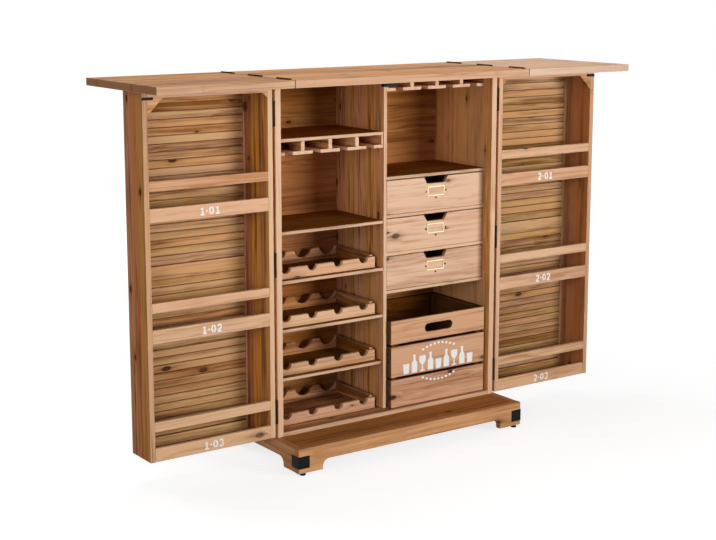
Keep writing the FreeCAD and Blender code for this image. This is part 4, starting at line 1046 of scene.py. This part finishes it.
# %% Crate stencil
BOTTLE = [(0.0, 0.0), (0.17, 0.0), (0.19, 0.03), (0.19, 0.52), (0.14, 0.62), (0.075, 0.70), (0.07, 0.92),
          (0.09, 0.94), (0.09, 1.0), (0.0, 1.0)]
GOBLET = [(0.0, 0.0), (0.18, 0.0), (0.18, 0.045), (0.045, 0.08), (0.035, 0.36), (0.13, 0.44), (0.22, 0.58),
          (0.23, 0.72), (0.20, 0.88), (0.0, 0.88)]
TUMBLER = [(0.0, 0.0), (0.17, 0.0), (0.21, 0.55), (0.0, 0.55)]
DIAMOND = np.array([(0, -4.5), (6, 0), (0, 4.5), (-6, 0)]) * MM
FIGURE_HEIGHT, FIGURE_STEP, DIAMOND_STEP, BOW = 56 * MM, 31 * MM, 15 * MM, 13 * MM
FIGURE_FOOT, UPPER_DROP, LOWER_DROP = 5 * MM, 22 * MM, 8 * MM


def figure(half, place, face):
    """A silhouette in paint: half an outline, and back along its mirror image."""
    half = np.asarray(half, float)
    return painted(np.vstack([half, (half * [-1, 1])[::-1][1:-1]]) * FIGURE_HEIGHT + place, face)


lows, highs = box_corners("crate_slats")
front_slats = np.flatnonzero(lows[:, 1] < lows[:, 1].min() + MM)
low_slat, middle_slat = front_slats[np.argsort(lows[front_slats, 2])]
face, middle = lows[middle_slat, 1], (lows[middle_slat, 0] + highs[middle_slat, 0]) / 2
row = [TUMBLER, BOTTLE, GOBLET, BOTTLE] * 2 + [TUMBLER]
steps = np.arange(-4, 5)
base = lows[middle_slat, 2] + FIGURE_FOOT
figures = [figure(half, (middle + FIGURE_STEP * step, base), face) for step, half in zip(steps, row)]
rise = BOW * (1 - (steps / 4) ** 2)
upper = np.column_stack([middle + DIAMOND_STEP * steps, highs[middle_slat, 2] - UPPER_DROP + rise])
lower = np.column_stack([middle + DIAMOND_STEP * steps, highs[low_slat, 2] - LOWER_DROP - rise])
figures += [painted(DIAMOND + spot, face) for spot in np.vstack([upper, lower])]
add_piece("crate_stencil", joined(figures), stencil_paint, "crate")
print("crate stencil:", len(row), "figures and", 2 * len(steps), "diamonds")

# %% [markdown]
# ## Floor and backdrop
# The floor is pale paper that keeps a soft shadow. The camera and reflections also see it glow a little,
# more with distance, so it runs into a white world without a horizon; the glow lights nothing.

# %% Floor and world
def seen_by_camera(tree):
    """1 for rays from the camera and for reflections and glass, 0 for light that falls on things."""
    path = tree.nodes.new("ShaderNodeLightPath").outputs
    direct_or_mirrored = sums(tree, "MAXIMUM", path["Is Camera Ray"], path["Is Glossy Ray"])
    return sums(tree, "MAXIMUM", direct_or_mirrored, path["Is Transmission Ray"])


REACH, PAPER, AMBIENT, WHITE = 14.0, 0.40, 0.07, (1.0, 1.0, 1.0, 1.0)
GLOW_LEAST, GLOW_NEAR, GLOW_FAR = 0.78, 0.8, 3.2
floor_mesh = bpy.data.meshes.new("floor")
floor_points = np.column_stack([REACH * CORNER_SIDES, np.zeros(4)])
floor_mesh.from_pydata(floor_points.tolist(), [], [(0, 1, 2, 3)])
floor_sheet = placed("floor", floor_mesh)
paper = bpy.data.materials.new("floor_paper")
paper.use_nodes = True
tree = paper.node_tree
tree.nodes.clear()
spot = make(tree, "TexCoord", output="Object")
away = make(tree, "VectorMath", [spot], "Value", operation="LENGTH")
far = ramp_between(tree, away, GLOW_NEAR, GLOW_FAR)
glow = sums(tree, "MULTIPLY_ADD", far, 1 - GLOW_LEAST, GLOW_LEAST)
matt = make(tree, "BsdfDiffuse", {"Color": (PAPER, PAPER, PAPER, 1.0)})
shine = make(tree, "Emission", {"Strength": sums(tree, "MULTIPLY", seen_by_camera(tree), glow)})
surface = tree.nodes.new("ShaderNodeOutputMaterial").inputs["Surface"]
plug(tree, make(tree, "AddShader", [matt, shine]), surface)
floor_mesh.materials.append(paper)

world = bpy.data.worlds.new("studio")
bpy.context.scene.world = world
world.use_nodes = True
tree = world.node_tree
tree.nodes.clear()
strength = sums(tree, "MULTIPLY_ADD", seen_by_camera(tree), 1 - AMBIENT, AMBIENT)
sky = make(tree, "Background", {"Color": WHITE, "Strength": strength})
plug(tree, sky, tree.nodes.new("ShaderNodeOutputWorld").inputs["Surface"])
print("floor", 2 * REACH, "m wide, ambient", AMBIENT)

# %% [markdown]
# ## Lights
# The photograph's light is a large softbox in front, a little to the right and no higher than the top, so
# shelf tops and left-hand walls stay dark. A grid in front of it makes the light fade downwards. A second
# one fills the left, one lights the top from above, and one the back.

# %% Lights
def soft_light(name, place, target, size, power, spread=180):
    """A rectangular area light that faces a point; a smaller spread is a softbox with a grid in front."""
    lamp = bpy.data.lights.new(name, "AREA")
    lamp.shape = "RECTANGLE"
    lamp.size, lamp.size_y = size
    lamp.energy = power
    lamp.spread = np.radians(spread)
    light = placed(name, lamp)
    light.location = place
    x, y, z = np.subtract(place, target)
    light.rotation_euler = (np.arctan2(np.hypot(x, y), z), 0.0, np.arctan2(x, -y))


# Each row: place, target, width and height, watts, and the grid's spread in degrees.
soft_light("key_light", (1.9, -3.6, 1.10), (-0.40, 0, 1.02), (1.7, 1.0), 26, 75)
soft_light("fill_light", (-3.6, -2.6, 1.3), (0, 0, 0.6), (2.0, 2.0), 60)
soft_light("top_light", (0.0, 0.5, 3.6), (0, 0.2, 1.1), (3.0, 1.6), 40)
soft_light("back_light", (-2.2, 4.2, 2.4), (0, 0, 0.6), (3.0, 2.0), 85)
bpy.context.scene.view_settings.view_transform = "Standard"

# %% [markdown]
# ## Camera
# The photograph was taken from the front left, a little above the top, with a long lens whose frame is
# shifted down. A tilt of ten degrees and a small shift give nearly the same framing.

# %% Camera
IMAGE_WIDTH, FOCAL_PIXELS, SHIFT = 716, 1469.65, -0.05
PLACE, TILT, TURN = (-2.5322, -3.5385, 1.3961), 10.078, 34.891
lens = bpy.data.cameras.new("camera")
lens.sensor_width = 36.0
lens.lens = FOCAL_PIXELS / IMAGE_WIDTH * lens.sensor_width
lens.shift_y = SHIFT
camera = placed("camera", lens)
camera.location = PLACE
camera.rotation_euler = np.radians([90 - TILT, 0.0, -TURN])
bpy.context.scene.camera = camera
print("camera lens", round(lens.lens, 2), "mm")
